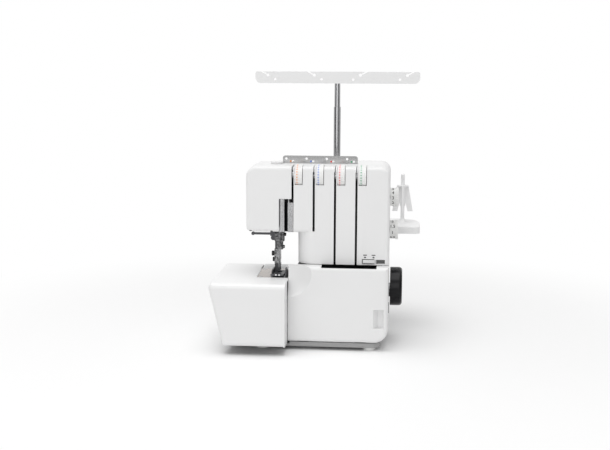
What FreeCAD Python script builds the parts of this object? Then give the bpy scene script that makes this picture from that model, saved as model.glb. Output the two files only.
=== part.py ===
import FreeCAD
import Part
import math
import os
from FreeCAD import Vector

# Four-thread overlock sewing machine, in millimetres.
# The origin is the middle of the machine's outline on the table.
# +X is to the sewer's right, -Y faces the sewer and +Z is up.

# Clearances
RUNNING_GAP = 0.05
CLEAR_GAP = 0.3
SEAM = 0.4

# Stance
FOOT_HEIGHT = 5.0
FOOT_RADIUS = 10.5
FOOT_PLACES = [(-84.5, -84.0), (84.0, -84.0), (-112.0, 31.0), (84.0, 31.0)]
PAN_THICKNESS = 4.5
PAN_LEFT = -132.0
PAN_RIGHT = 100.5
PAN_FRONT = -97.0
PAN_REAR = 45.0
PAN_CORNER = 14.0
PAN_SILL_HEIGHT = 3.2
PAN_SILL_DEPTH = 12.0
PAN_BOSS_RADIUS = 6.0
PAN_BOSS_HEIGHT = 7.5
PAN_BOSSES = [(-95.0, -70.0), (-95.0, 8.0), (80.0, -70.0), (80.0, 8.0)]

# Upper casing
WALL = 2.5
HOUSING_LEFT = -111.0
HOUSING_RIGHT = 112.5
HOUSING_FRONT = -83.0
HOUSING_REAR = 35.0
HOUSING_TOP = 287.0
HEAD_BOTTOM = 184.0
HEAD_REAR = 2.0
COLUMN_LEFT = -31.0
COLUMN_BOTTOM = 134.5
CROWN_RADIUS = 17.0
SHOULDER_RADIUS = 15.0
HEAD_LOW_RADIUS = 7.0
FRONT_RADIUS = 5.0
REAR_RADIUS = 6.0
COLUMN_RADIUS = 26.0
BASE_RADIUS = 22.0
TOP_SPLIT_Y = -52.0
TOP_SPLIT_DROP = 19.0
REAR_SPLIT_Y = -20.0
END_SPLIT_X = 102.0
END_SPLIT_Y = -74.0
HEAD_HATCH_X = (-98.0, -39.0)
HEAD_HATCH_Y = (-76.0, -3.0)

# Thread slots and tension dials
SLOT_FIRST = -38.0
SLOT_PITCH = 33.0
SLOT_WIDTH = 3.4
SLOT_NECK = 1.4
SLOT_SHORT = 3.0
SLOT_NECK_DROP = 8.0
CHANNEL_BACK = -55.5
CHANNEL_WALL = 1.3
NECK_BACK = -58.0
DIAL_RADIUS = 17.5
DIAL_WIDTH = 11.2
DIAL_PROUD = 2.2
DIAL_RIDGES = 36
DIAL_RIDGE_DEPTH = 0.5
DIAL_WINDOW_DROP = 28.5
DIAL_SCALE_WIDTH = 6.4
DIAL_SIDE_GAP = 0.9
DIAL_WINDOW_BACK = -55.0
AXLE_RADIUS = 2.5
AXLE_END = 4.0
DISC_RADIUS = 6.8
DISC_THICKNESS = 0.7

# Take-up cover beside the first slot
TAKE_UP_LEFT = -59.4
TAKE_UP_TOP = 236.4
TAKE_UP_PLATE_TOP = 230.6
TAKE_UP_SHEET = 1.0
TAKE_UP_ROLL = 4.7
TAKE_UP_GROOVE = 4.3
TAKE_UP_DEPTH = 10.0

# Selector under the fourth panel
SELECTOR_FROM_SLOT = 10.4
SELECTOR_FROM_END = 6.2
SELECTOR_Z = (136.8, 143.2)
SELECTOR_SHARE = 0.533
SELECTOR_PROUD = 1.6
SELECTOR_FLANGE = 1.6
SELECTOR_LIP = 2.2
SELECTOR_GAP = 0.8

# Cast frame
FLOOR_THICKNESS = 7.0
FLOOR_X = (-105.0, 94.0)
FLOOR_Y = (-82.0, 19.0)
BEARING_LEFT = (-26.0, -18.0)
BEARING_RIGHT = (88.0, 94.0)
FRAME_Y = (-45.0, 19.0)
DECK_Z = (112.0, 124.0)
POST_X = (30.0, 80.0)
POST_Y = (-14.0, 19.0)
ARM_Z = (240.0, 262.0)
ARM_Y = (-26.0, -2.0)
HEAD_PLATE_X = (-88.0, -78.0)
HEAD_BOSS_Y = (-62.0, -28.0)
LOWER_BOSS_Z = (188.0, 200.0)
UPPER_BOSS_Z = (244.0, 254.0)
BOSS_RIGHT = -52.0

# Main shaft and drive
SHAFT_Y = -31.0
SHAFT_Z = 91.0
SHAFT_RADIUS = 5.0
SHAFT_LEFT = -45.0
BUSH_RADIUS = 8.0
BUSH_LIP = 0.5
CRANK_PIN_RADIUS = 3.0
CRANK_WEB = 2.5
CRANK_WEB_RIM = 4.0
LOOPER_DISC_RADIUS = 9.0
LOOPER_DISC_WIDTH = 5.0
WHEEL_RADIUS = 30.8
WHEEL_X = (114.6, 133.8)
WHEEL_ROUND = 5.0
WHEEL_HUB_RADIUS = 12.0
PULLEY_X = (96.8, 105.2)
PULLEY_RADIUS = 26.0
PULLEY_FLANGE = 3.0
FLANGE_WIDTH = 1.0
BELT_THICKNESS = 1.8
MOTOR_Y = -1.0
MOTOR_Z = 46.0
MOTOR_RADIUS = 20.0
MOTOR_LEFT = 30.0
MOTOR_PULLEY_RADIUS = 8.0
MOTOR_SHAFT_RADIUS = 4.0
MOTOR_SHAFT_DEPTH = 16.0
SADDLE_X = [(36.0, 44.0), (70.0, 78.0)]

# Needle bar, rocker and connecting rod
NEEDLE_X = -61.0
NEEDLE_Y = -53.0
NEEDLE_STROKE = 25.0
NEEDLE_BAR_RADIUS = 3.5
NEEDLE_BAR_TOP = 280.0
STUD_Z = 234.5
STUD_RADIUS = 3.0
STUD_HALF = 5.5
STUD_BLOCK_LEFT = 6.0
STUD_BLOCK_RIGHT = 5.0
STUD_BLOCK_HALF = 6.0
CLAMP_X = (-68.5, -53.5)
CLAMP_Y = (-60.0, -46.5)
CLAMP_Z = (165.5, 179.0)
CLAMP_LOW_X = (-65.4, -55.8)
CLAMP_LOW_Y = (-58.0, -48.0)
CLAMP_LOW_BOTTOM = 152.0
CLAMP_SEAT = 3.0
CLAMP_SCREW_RADIUS = 2.6
CLAMP_SCREW_LENGTH = 2.6
NEEDLE_GAP = 2.4
NEEDLE_SHANK_RADIUS = 0.9
NEEDLE_BLADE_RADIUS = 0.5
NEEDLE_SHANK_BOTTOM = 136.0
NEEDLE_TIP = 118.5
ROCKER_Y = -8.0
ROCKER_Z = 222.0
ROCKER_RADIUS = 4.0
ROCKER_HUB = 6.5
ROCKER_RIGHT = 40.0
LEVER_X = (-55.0, -50.5)
LEVER_OVERRUN = 5.0
LEVER_HALF = 6.5
FORK_GAP = 0.5
ROD_X = (12.3, 17.7)
ROD_PIN_RADIUS = 2.5
ROD_EYE_RADIUS = 6.0
ROD_SHANK = 7.0
ROD_RING_WALL = 3.5
ROCKER_LUG_X = (-46.0, -38.0)

# Presser bar and lifter
PRESSER_X = -67.0
PRESSER_Y = -38.0
PRESSER_RADIUS = 3.5
PRESSER_TOP = 233.0
PRESSER_LIFT = 6.0
PRESSER_COLLAR_RADIUS = 6.5
PRESSER_COLLAR_Z = (204.0, 208.0)
SPRING_RADIUS = 5.2
SPRING_WIRE = 0.7
SPRING_TURNS = 7
KNOB_RADIUS = 10.0
KNOB_HEIGHT = 3.4
KNOB_EDGE = 1.2
KNOB_RIDGES = 24
STEM_RADIUS = 4.0
STEM_BOTTOM = 240.0
LIFTER_Z = 166.5
LIFTER_SHAFT_RADIUS = 3.5
LIFTER_TIP = -112.0
LIFTER_Y = (4.0, 9.0)
LIFTER_TURN = 60.0
LIFTER_CAM_RADIUS = 4.0
LIFTER_CAM_GAP = 0.7
LIFTER_TIP_RADIUS = 2.8
LIFTER_LUG_Y = (-20.0, -6.0)
TONGUE_X = (-77.5, -60.0)
TONGUE_HEIGHT = 9.3
TONGUE_FRONT = 6.5
TONGUE_BACK = 11.0
HOLDER_X = (-71.0, -62.0)
HOLDER_Y = (-45.0, -31.0)
HOLDER_Z = (126.6, 150.0)
HOLDER_BORE = 10.0
HOLDER_ROUND = 2.5
HOLDER_SCREW_Z = 142.2
HOLDER_SCREW_RADIUS = 4.0
HOLDER_SCREW_LENGTH = 4.5
RELEASE_Z = (130.0, 136.0)
RELEASE_LENGTH = 2.8
FOOT_X = (-72.5, -52.2)
FOOT_Y = (-84.0, -40.0)
FOOT_GAP = 0.4
SOLE_THICKNESS = 3.0
TOE_LENGTH = 9.0
TOE_BEND = 4.0
FOOT_WALL = 2.0
FOOT_WALL_SETBACK = 14.0
FOOT_WALL_HEIGHT = 8.0
SOLE_LAP = 1.0
FOOT_TOWER_X = (-70.0, -61.0)
FOOT_TOWER_Y = (-46.5, -33.0)

# Bed, needle plate, feed and knives
BED_TOP = 112.0
BED_THICKNESS = 2.5
PLATE_THICKNESS = 2.0
PLATE_X = (-94.0, -52.8)
PLATE_Y = (-84.0, -17.0)
PLATE_WALL_X = (-93.0, -85.0)
NEEDLE_SLOT_X = (-64.0, -58.3)
NEEDLE_SLOT_Y = (-55.0, -51.0)
FEED_BARS_X = [(-72.7, -67.8), (-57.4, -54.6)]
FEED_CARRIER_X = (-84.7, -54.6)
FEED_CARRIER_Z = (92.0, 97.0)
MAIN_FEED_Y = (-47.5, -26.0)
DIFFERENTIAL_FEED_Y = (-77.0, -55.0)
FEED_TRAVEL = 4.0
FEED_TOOTH = 2.2
FEED_TOOTH_DEPTH = 1.0
FEED_BELOW_PLATE = 0.3
LOWER_KNIFE_X = (-52.4, -50.2)
KNIFE_Y = (-79.0, -67.0)
LOWER_KNIFE_Z = (62.0, 111.6)
KNIFE_POST_X = (-58.0, -52.4)
KNIFE_POST_TOP = 84.0
UPPER_KNIFE_X = (-49.7, -47.7)
UPPER_KNIFE_Z = (94.0, 126.0)
KNIFE_HOLDER_X = (-47.7, -40.8)
KNIFE_HOLDER_Z = (78.0, 104.0)
KNIFE_GUIDE_X = (-40.5, -35.0)
KNIFE_GUIDE_TOP = 100.0

# Loopers
LOOPER_PLATE_X = (-60.0, 6.0)
LOOPER_PLATE_Y = (-52.0, -46.0)
LOOPER_PLATE_TOP = 62.0
LOOPER_SHAFT_RADIUS = 4.0
LOOPER_ROOT = 5.0
UPPER_LOOPER_REACH = 37.0
UPPER_LOOPER_RISE = 38.0
LOWER_LOOPER_REACH = 22.0
LOWER_LOOPER_RISE = 42.0
LOOPER_HUB_RADIUS = 7.0
LOOPER_SHAFT_REAR = -36.0
UPPER_LOOPER_PIVOT = (-8.0, 50.0)
UPPER_LOOPER_Y = (-65.5, -62.5)
LOWER_LOOPER_PIVOT = (-48.0, 40.0)
LOWER_LOOPER_Y = (-60.0, -57.0)

# Looper cover
COVER_LEFT = -43.6
COVER_RIGHT = 112.5
COVER_FRONT = -101.0
COVER_REAR = -84.0
COVER_BOTTOM = 13.5
COVER_TOP = 134.0
COVER_ROUND = 6.0
COVER_LIP_Y = -90.0
COVER_NOTCH_X = (8.2, 93.8)
COVER_NOTCH_DEPTH = 2.8
SCOOP_RADIUS = 62.0
SCOOP_CENTRE_X = -44.0
SCOOP_CENTRE_Z = 122.0
SCOOP_DEPTH = 12.5
GRIP_X = (88.5, 106.0)
GRIP_Z = (37.5, 67.5)
GRIP_DEPTH = 8.0
GRIP_ROUND = 3.0
HINGE_Y = -94.5
HINGE_Z = 20.0
HINGE_ROD_RADIUS = 1.5
HINGE_ROD_X = (-34.0, 98.0)
HINGE_NOSE_RADIUS = 3.2
HINGE_LUG_HALF = 4.0
HINGE_LUGS_X = [-16.0, 74.0]
HINGE_LUG_REAR = -82.6
HINGE_KNUCKLE = 6.0
COVER_SLIDE = 8.0

# Side cover and cloth plate
SIDE_TOP_LEFT = -164.36
SIDE_BOTTOM_LEFT = -141.0
SIDE_RIGHT = -44.2
SIDE_FRONT = -141.0
SIDE_REAR = 22.0
SIDE_BOTTOM = 13.0
SIDE_RIGHT_REAR = -103.0
SIDE_ROUND = 8.0
SIDE_TURN_IN = -112.0
SIDE_PIN_X = -128.0
SIDE_PIN_Y = 14.0
SIDE_PIN_RADIUS = 2.5
SIDE_KNUCKLE_RADIUS = 5.0
SIDE_KNUCKLES_Z = [(26.0, 34.0), (52.0, 60.0)]
SIDE_PIN_TOP = 64.0
PLATE_GAP = 0.5
REAR_BED_GAP = 1.5
REAR_BED_WALL_LEFT = -110.0

# Right-hand dials and power block
END_DIAL_Y = -21.0
END_DIALS_Z = (234.0, 181.4)
END_DIAL_RADIUS = 15.5
END_DIAL_X = (113.0, 126.0)
END_DIAL_FLANGE = 4.6
END_DIAL_SHAFT = 3.0
END_DIAL_BOSS = 6.0
END_DIAL_RIDGES = 30
SOCKET_BLOCK_X = (98.0, 110.0)
SOCKET_BLOCK_Y = (13.4, 28.8)
SOCKET_BLOCK_Z = (32.0, 86.0)
SOCKET_Y = (15.0, 27.5)
SOCKET_Z = (34.5, 50.5)
SOCKET_PROUD = 0.8
SOCKET_RIM = 1.6
SOCKET_FLOOR = 101.0
SWITCH_Y = (15.2, 27.2)
SWITCH_Z = (61.5, 82.5)
SWITCH_PIVOT_X = 108.0
SWITCH_PIN_RADIUS = 1.5
SWITCH_PROUD = 2.4
SWITCH_GAP = 1.4
SWITCH_POCKET = 103.5

# Thread stand behind the machine
STAND_MIDDLE = 22.0
STAND_HALF = 140.4
STAND_Y = (46.0, 141.0)
STAND_Z = (163.4, 175.3)
STAND_WALL = 3.0
STAND_FRONT_RADIUS = 10.0
STAND_REAR_RADIUS = 44.0
STAND_ARM_HALF = 7.0
STAND_ARMS = (-32.0, 32.0)
PIN_Y = 94.0
PIN_PITCH = 74.0
PIN_RADIUS = 3.2
PIN_TOP = 258.7
PIN_FOOT_RADIUS = 9.0
PIN_FOOT_HEIGHT = 7.0
PIN_COLLAR_Z = (204.0, 208.0)
PIN_COLLAR_RADIUS = 4.6
CONE_TOP = 239.4
CONE_BOTTOM = 194.7
CONE_TOP_RADIUS = 9.5
CONE_BOTTOM_RADIUS = 17.5
CONE_HUB_RADIUS = 5.4
CONE_FIN = 2.4
CONE_CAP = 2.5
POLE_Y = 64.0
POLE_BASE_RADIUS = 6.6
POLE_MIDDLE_RADIUS = 5.6
POLE_TOP_RADIUS = 4.7
POLE_WALL = 0.75
POLE_BASE_TOP = 284.0
POLE_MIDDLE_TOP = 372.0
POLE_TOP_TOP = 425.0
POLE_LAP = 20.0
BAR_HALF = 135.8
BAR_Z = (411.0, 430.2)
BAR_THICKNESS = 2.2
BAR_LOW_RADIUS = 9.0
BAR_TOP_RADIUS = 3.0
BAR_HUB_RADIUS = 7.2
BAR_SLOT_HOLES = (38.0, 115.0)
BAR_SLOT_RUN = 12.0
BAR_SLOT_WIDTH = 2.2
BAR_SLOT_HOLE_RADIUS = 2.3
BAR_SLOT_Z = 424.5
BAR_HOLES = (26.0, 103.0)
BAR_HOLE_RADIUS = 2.0
BAR_HOLE_Z = 417.6

# Upper thread guide on the casing's top
GUIDE_X = (-58.5, 60.7)
GUIDE_Y = -33.0
GUIDE_HEIGHT = 12.4
GUIDE_SHEET = 1.2
GUIDE_FOOT = 12.0
GUIDE_PITCH = 32.2
GUIDE_FIRST = (-52.9, -42.3)
GUIDE_HOLES_UP = (7.6, 3.4)
GUIDE_HOLE_RADIUS = 1.9
GUIDE_END_RADIUS = 4.0

# Fasteners
SCREW_HEAD_RADIUS = 3.2
SCREW_HEAD = 1.6
SCREW_RADIUS = 1.7
SCREW_LENGTH = 8.0
REAR_SCREWS = [(-18.0, 22.0), (80.0, 22.0), (-18.0, 150.0), (80.0, 150.0), (-18.0, 250.0), (80.0, 250.0)]
GUIDE_SCREWS_X = (-40.0, 42.0)
PLATE_SCREWS_Y = (-78.0, -23.0)
PLATE_SCREW_X = -89.0

# Lamp under the head
LAMP_X = (-103.8, -90.0)
LAMP_Y = (-70.0, -40.0)
LAMP_HEIGHT = 4.5

# Worked-out places
PAN_TOP = FOOT_HEIGHT + PAN_THICKNESS
FLOOR_BOTTOM = PAN_TOP + PAN_BOSS_HEIGHT
FLOOR_TOP = FLOOR_BOTTOM + FLOOR_THICKNESS
SLOT_X = [SLOT_FIRST + SLOT_PITCH * i for i in range(4)]
SLOT_BOTTOM = [HEAD_BOTTOM, HEAD_BOTTOM + SLOT_SHORT, COLUMN_BOTTOM, COLUMN_BOTTOM]
SLOT_NECK_Z = HOUSING_TOP - SLOT_NECK_DROP
DIAL_WINDOW_BOTTOM = HOUSING_TOP - DIAL_WINDOW_DROP
TOP_SPLIT_Z = HOUSING_TOP - TOP_SPLIT_DROP
SELECTOR_X = (SLOT_X[3] + SELECTOR_FROM_SLOT, HOUSING_RIGHT - SELECTOR_FROM_END)
SELECTOR_LENGTH = SELECTOR_SHARE * (SELECTOR_X[1] - SELECTOR_X[0])
COVER_CORNER = (HINGE_Y - COVER_FRONT - COVER_ROUND, HINGE_Z - COVER_BOTTOM - COVER_ROUND)
COVER_SWEEP = COVER_ROUND + math.hypot(*COVER_CORNER) + CLEAR_GAP
DIAL_OFFSET = SLOT_WIDTH / 2 + CHANNEL_WALL + 0.6
AXLE_X = (SLOT_X[0] - SLOT_WIDTH / 2 - CHANNEL_WALL, SLOT_X[3] + DIAL_OFFSET + DIAL_WIDTH + AXLE_END)
DIAL_Y = HOUSING_FRONT - DIAL_PROUD + DIAL_RADIUS
DIAL_Z = HOUSING_TOP + DIAL_PROUD - DIAL_RADIUS
LEVER_REACH = ROCKER_Y - NEEDLE_Y
LEVER_ANGLE = math.degrees(math.atan2(STUD_Z - ROCKER_Z, LEVER_REACH))
ARM_REACH = ROCKER_Y - SHAFT_Y
ROD_TOP_Z = ROCKER_Z + ARM_REACH * math.tan(math.radians(LEVER_ANGLE))
CRANK_THROW = ROD_TOP_Z - ROCKER_Z
CRANK_Z = SHAFT_Z + CRANK_THROW
ROD_RING_RADIUS = CRANK_PIN_RADIUS + 2 * CRANK_THROW + 1.5
LIFTER_THROW = PRESSER_LIFT / math.sin(math.radians(LIFTER_TURN))
TONGUE_BOTTOM = LIFTER_Z + LIFTER_CAM_RADIUS + LIFTER_CAM_GAP
SOLE_BOTTOM = BED_TOP + FOOT_GAP
FEED_TOP = BED_TOP - FEED_BELOW_PLATE
PLATE_BOTTOM = BED_TOP - PLATE_THICKNESS
BED_BOTTOM = BED_TOP - BED_THICKNESS
LEDGE_TOP = FEED_CARRIER_Z[0] - CLEAR_GAP
PIN_PLACES = [STAND_MIDDLE + PIN_PITCH * (i - 1.5) for i in range(4)]
SCOOP_CENTRE_Y = COVER_FRONT - SCOOP_RADIUS + SCOOP_DEPTH
BAR_Y = (POLE_Y - BAR_HUB_RADIUS - BAR_THICKNESS / 2, POLE_Y - BAR_HUB_RADIUS + BAR_THICKNESS / 2)
BIG = 600.0


AXES = {"x": Vector(1, 0, 0), "y": Vector(0, 1, 0), "z": Vector(0, 0, 1)}


def place(axis, at, along):
    """Point at distance along an axis, with its two other coordinates in at."""
    a, b = at
    return {"x": Vector(along, a, b), "y": Vector(a, along, b), "z": Vector(a, b, along)}[axis]


def box(x, y, z):
    """Block between three (low, high) pairs."""
    return Part.makeBox(x[1] - x[0], y[1] - y[0], z[1] - z[0], Vector(x[0], y[0], z[0]))


def rod(axis, at, radius, span):
    """Round bar along an axis."""
    return Part.makeCylinder(radius, span[1] - span[0], place(axis, at, span[0]), AXES[axis])


def cone(axis, at, radii, span):
    """Tapered round bar, with a radius at each end."""
    return Part.makeCone(radii[0], radii[1], span[1] - span[0], place(axis, at, span[0]), AXES[axis])


def tube(axis, at, outer, inner, span):
    """Round bar with a bore right through it."""
    return rod(axis, at, outer, span).cut(rod(axis, at, inner, span))


def joined(first, *others):
    """One solid from pieces that share volume or faces."""
    return first.fuse(list(others)).removeSplitter()


def without(shape, *tools):
    """Shape with tools cut away."""
    return shape.cut(list(tools))


def grown(span, by):
    """A (low, high) pair widened at both ends."""
    return (span[0] - by, span[1] + by)


def middle(span):
    """Half way between a (low, high) pair."""
    return (span[0] + span[1]) / 2


def lay(plane, u, v, w):
    """Point of a sketch plane, lifted by w along its normal."""
    return {"xy": Vector(u, v, w), "xz": Vector(u, w, v), "yz": Vector(w, u, v)}[plane]


def outline(plane, corners, w):
    """Closed wire through (u, v, radius) corners, with a tangent arc wherever the radius is not nought."""
    marks = []
    for i, (u, v, radius) in enumerate(corners):
        here = Vector(u, v, 0)
        if radius <= 0:
            marks.append((here, None, here))
            continue
        u0, v0, _ = corners[i - 1]
        u1, v1, _ = corners[(i + 1) % len(corners)]
        before = Vector(u0 - u, v0 - v, 0).normalize()
        after = Vector(u1 - u, v1 - v, 0).normalize()
        half = before.getAngle(after) / 2
        reach = radius / math.tan(half)
        inward = (before + after).normalize()
        crest = here + inward * (radius / math.sin(half) - radius)
        marks.append((here + before * reach, crest, here + after * reach))
    edges = []
    for i, (start, crest, end) in enumerate(marks):
        lifted = [lay(plane, p.x, p.y, w) for p in (start, crest or start, end)]
        if crest:
            edges.append(Part.Arc(*lifted).toShape())
        following = marks[(i + 1) % len(marks)][0]
        if end.distanceToPoint(following) > 1e-6:
            edges.append(Part.makeLine(lifted[2], lay(plane, following.x, following.y, w)))
    return Part.Wire(edges)


def profile(plane, corners, span):
    """Solid with the given outline, drawn out along the plane's normal."""
    normal = lay(plane, 0, 0, span[1] - span[0])
    return Part.Face(outline(plane, corners, span[0])).extrude(normal)


def block(plane, u, v, radius, span):
    """Block with four rounded edges along the plane's normal."""
    corners = [(u[0], v[0], radius), (u[1], v[0], radius), (u[1], v[1], radius), (u[0], v[1], radius)]
    return profile(plane, corners, span)


def edges_at(shape, axis, value):
    """Edges that lie in the plane where the axis has that value."""
    low = axis.upper() + "Min"
    high = axis.upper() + "Max"
    found = []
    for edge in shape.Edges:
        bounds = edge.BoundBox
        if abs(getattr(bounds, low) - value) < 0.01 and abs(getattr(bounds, high) - value) < 0.01:
            found.append(edge)
    return found


def softened(shape, radius, axis, value):
    """Shape with the edges of one flat side rounded."""
    return shape.makeFillet(radius, edges_at(shape, axis, value))


def turned(shape, at, axis, degrees):
    """Copy turned about an axis through a point."""
    copy = shape.copy()
    copy.rotate(at, axis, degrees)
    return copy


def ridged(shape, axis, at, radius, depth, count, span):
    """Round grip with shallow grooves cut along its rim."""
    grooves = []
    for i in range(count):
        angle = 2 * math.pi * i / count
        spot = (at[0] + radius * math.cos(angle), at[1] + radius * math.sin(angle))
        grooves.append(rod(axis, spot, depth, grown(span, depth)))
    return without(shape, *grooves)


def screw(axis, at, seat, outward):
    """Pan-head screw whose head stands on a seat and whose shank runs the other way."""
    head = sorted((seat, seat + outward * SCREW_HEAD))
    shank = sorted((seat, seat - outward * SCREW_LENGTH))
    solid = joined(rod(axis, at, SCREW_HEAD_RADIUS, head), rod(axis, at, SCREW_RADIUS, shank))
    return softened(solid, SCREW_HEAD / 3, axis, seat + outward * SCREW_HEAD)


def screw_hole(axis, at, seat, outward):
    """Clearance for a screw's shank."""
    return rod(axis, at, SCREW_RADIUS + CLEAR_GAP, sorted((seat + outward, seat - outward * (SCREW_LENGTH + 1))))


# Casings

def housing(inset):
    """Outer form of the upper casing, drawn in by inset on every side."""
    left = HOUSING_LEFT + inset
    right = HOUSING_RIGHT - inset
    front = HOUSING_FRONT + inset
    rear = HOUSING_REAR - inset
    top = HOUSING_TOP - inset
    column = COLUMN_LEFT + inset
    under = HEAD_BOTTOM + inset
    foot = PAN_TOP + inset
    head_rear = HEAD_REAR - inset
    corners = [(left, under, HEAD_LOW_RADIUS - inset), (right, under, 0)]
    corners += [(right, top, SHOULDER_RADIUS - inset), (left, top, CROWN_RADIUS - inset)]
    head = profile("xz", corners, (front, head_rear))
    head = softened(head, FRONT_RADIUS - inset, "y", front)
    head = softened(head, REAR_RADIUS - inset, "y", head_rear)
    corners = [(column, front, COLUMN_RADIUS - inset), (right, front, FRONT_RADIUS - inset)]
    corners += [(right, rear, REAR_RADIUS - inset), (column, rear, REAR_RADIUS - inset)]
    lower = profile("xy", corners, (foot, under + 2 * FRONT_RADIUS))
    corners = [(left, foot, 0), (right, foot, BASE_RADIUS - inset), (right, top, 0), (left, top, 0)]
    lower = lower.common(profile("xz", corners, (front, rear)))
    corners = [(column, under, 0), (right, under, 0)]
    corners += [(right, top, SHOULDER_RADIUS - inset), (column, top, REAR_RADIUS - inset)]
    back = profile("xz", corners, (head_rear - 2 * REAR_RADIUS, rear))
    back = softened(back, REAR_RADIUS - inset, "y", rear)
    return joined(head, lower, back)


def casing_shell():
    """Whole upper casing before it is parted into covers, open at its foot and under the needles."""
    inside = housing(WALL)
    open_foot_x = (COLUMN_LEFT + WALL, HOUSING_RIGHT - BASE_RADIUS)
    open_foot = box(open_foot_x, (HOUSING_FRONT + WALL, HOUSING_REAR - WALL), (PAN_TOP - 1, PAN_TOP + 2 * WALL))
    hatch = box(HEAD_HATCH_X, HEAD_HATCH_Y, (HEAD_BOTTOM - 1, HEAD_BOTTOM + 2 * WALL))
    return without(housing(0), inside, open_foot, hatch)


SHELL = casing_shell()


def top_region(gap):
    """Space that the top cover takes from the casing."""
    return box((-BIG, BIG), (TOP_SPLIT_Y - gap, BIG), (TOP_SPLIT_Z - gap, BIG))


def end_region(gap):
    """Space that the right end cover takes from the casing."""
    return box((END_SPLIT_X - gap, BIG), (END_SPLIT_Y - gap, BIG), (-BIG, TOP_SPLIT_Z + gap))


def rear_region(gap):
    """Space that the rear cover takes from the casing."""
    return box((-BIG, BIG), (REAR_SPLIT_Y - gap, BIG), (-BIG, TOP_SPLIT_Z + gap))


def dial_span(i):
    """Where tension dial i lies along its axle."""
    left = SLOT_X[i] + DIAL_OFFSET
    return (left, left + DIAL_WIDTH)


def front_cover():
    """Front moulding with the thread slots, the dial windows and the selector's window."""
    first_edge = SLOT_X[0] + SLOT_WIDTH / 2
    region = box((first_edge, BIG), (-BIG, BIG), (COLUMN_BOTTOM, BIG))
    shape = without(SHELL.common(region), top_region(SEAM), rear_region(SEAM), end_region(SEAM))
    for i, x in enumerate(SLOT_X):
        left = x - SLOT_WIDTH / 2 - (CHANNEL_WALL if i else 0)
        walls = (left, x + SLOT_WIDTH / 2 + CHANNEL_WALL)
        lowest = SLOT_BOTTOM[i] + (TAKE_UP_TOP - HEAD_BOTTOM if i == 0 else 0)
        depth = (HOUSING_FRONT + WALL / 2, CHANNEL_BACK)
        shape = joined(shape, box(walls, depth, (lowest, HOUSING_TOP - WALL / 2)))
    cuts = [box(SELECTOR_X, (HOUSING_FRONT - 1, HOUSING_FRONT + 2 * WALL), SELECTOR_Z)]
    for i, x in enumerate(SLOT_X):
        groove = (x - SLOT_WIDTH / 2 - (1 if i == 0 else 0), x + SLOT_WIDTH / 2)
        neck = (x - SLOT_NECK / 2 - (SLOT_WIDTH if i == 0 else 0), x + SLOT_NECK / 2)
        cuts.append(box(groove, (HOUSING_FRONT - 1, CHANNEL_BACK - CHANNEL_WALL), (SLOT_BOTTOM[i] - 1, SLOT_NECK_Z)))
        cuts.append(box(neck, (HOUSING_FRONT - 1, NECK_BACK), (SLOT_NECK_Z - 1, HOUSING_TOP + 1)))
        dial = dial_span(i)
        window = (dial[0] - CLEAR_GAP, dial[1] + DIAL_SIDE_GAP)
        cuts.append(box(window, (HOUSING_FRONT - 1, DIAL_WINDOW_BACK), (DIAL_WINDOW_BOTTOM, HOUSING_TOP + 1)))
    cuts.append(rod("x", (DIAL_Y, DIAL_Z), AXLE_RADIUS + RUNNING_GAP, grown(AXLE_X, CLEAR_GAP)))
    return without(shape, *cuts)


def face_cover():
    """Left moulding over the needle bar, with the first slot's left wall."""
    edge = SLOT_X[0] - SLOT_WIDTH / 2
    region = box((-BIG, edge), (-BIG, BIG), (HEAD_BOTTOM - 1, BIG))
    shape = without(SHELL.common(region), top_region(SEAM), rear_region(SEAM))
    wall = box((edge - CHANNEL_WALL, edge), (HOUSING_FRONT + WALL / 2, CHANNEL_BACK), (TAKE_UP_TOP, HOUSING_TOP - WALL / 2))
    notch = box((TAKE_UP_LEFT, edge + 1), (HOUSING_FRONT - 1, HEAD_HATCH_Y[0] + 1), (HEAD_BOTTOM - 1, TAKE_UP_TOP))
    axle = rod("x", (DIAL_Y, DIAL_Z), AXLE_RADIUS + RUNNING_GAP, grown(AXLE_X, CLEAR_GAP))
    return without(joined(shape, wall), notch, axle)


def top_cover():
    """Lid of the casing, with the hole for the pressure screw."""
    shape = SHELL.common(top_region(0))
    stem = rod("z", (PRESSER_X, PRESSER_Y), STEM_RADIUS + CLEAR_GAP, (HOUSING_TOP - 2 * WALL, HOUSING_TOP + 1))
    holes = [screw_hole("z", (x, GUIDE_Y + GUIDE_FOOT / 2), HOUSING_TOP, 1) for x in GUIDE_SCREWS_X]
    return without(shape, stem, *holes)


def rear_cover():
    """Back of the casing, from the pan to the lid."""
    shape = without(SHELL.common(rear_region(0)), top_region(SEAM), end_region(SEAM))
    holes = [screw_hole("y", at, HOUSING_REAR, 1) for at in REAR_SCREWS]
    chamber = box((COLUMN_LEFT - 1, COLUMN_LEFT + 2 * WALL), (-BIG, SIDE_REAR + WALL + SEAM), (0, BED_TOP + SEAM))
    return without(shape, chamber, *holes)


def end_cover():
    """Right end of the casing, with the bearings of the two dials and the openings for shaft, switch and socket."""
    shape = without(SHELL.common(end_region(0)), top_region(SEAM))
    inside = HOUSING_RIGHT - WALL
    cuts = [rod("x", (SHAFT_Y, SHAFT_Z), SHAFT_RADIUS + 3 * CLEAR_GAP, (inside - 1, HOUSING_RIGHT + 1))]
    for z in END_DIALS_Z:
        at = (END_DIAL_Y, z)
        shape = joined(shape, rod("x", at, END_DIAL_BOSS, (inside - END_DIAL_BOSS, inside)))
        cuts.append(rod("x", at, END_DIAL_SHAFT + RUNNING_GAP, (END_SPLIT_X, HOUSING_RIGHT + 1)))
    cuts.append(box((inside - 1, HOUSING_RIGHT + 1), SWITCH_Y, SWITCH_Z))
    cuts.append(box((inside - 1, HOUSING_RIGHT + 1), grown(SOCKET_Y, CLEAR_GAP), grown(SOCKET_Z, CLEAR_GAP)))
    return without(shape, *cuts)


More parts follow.
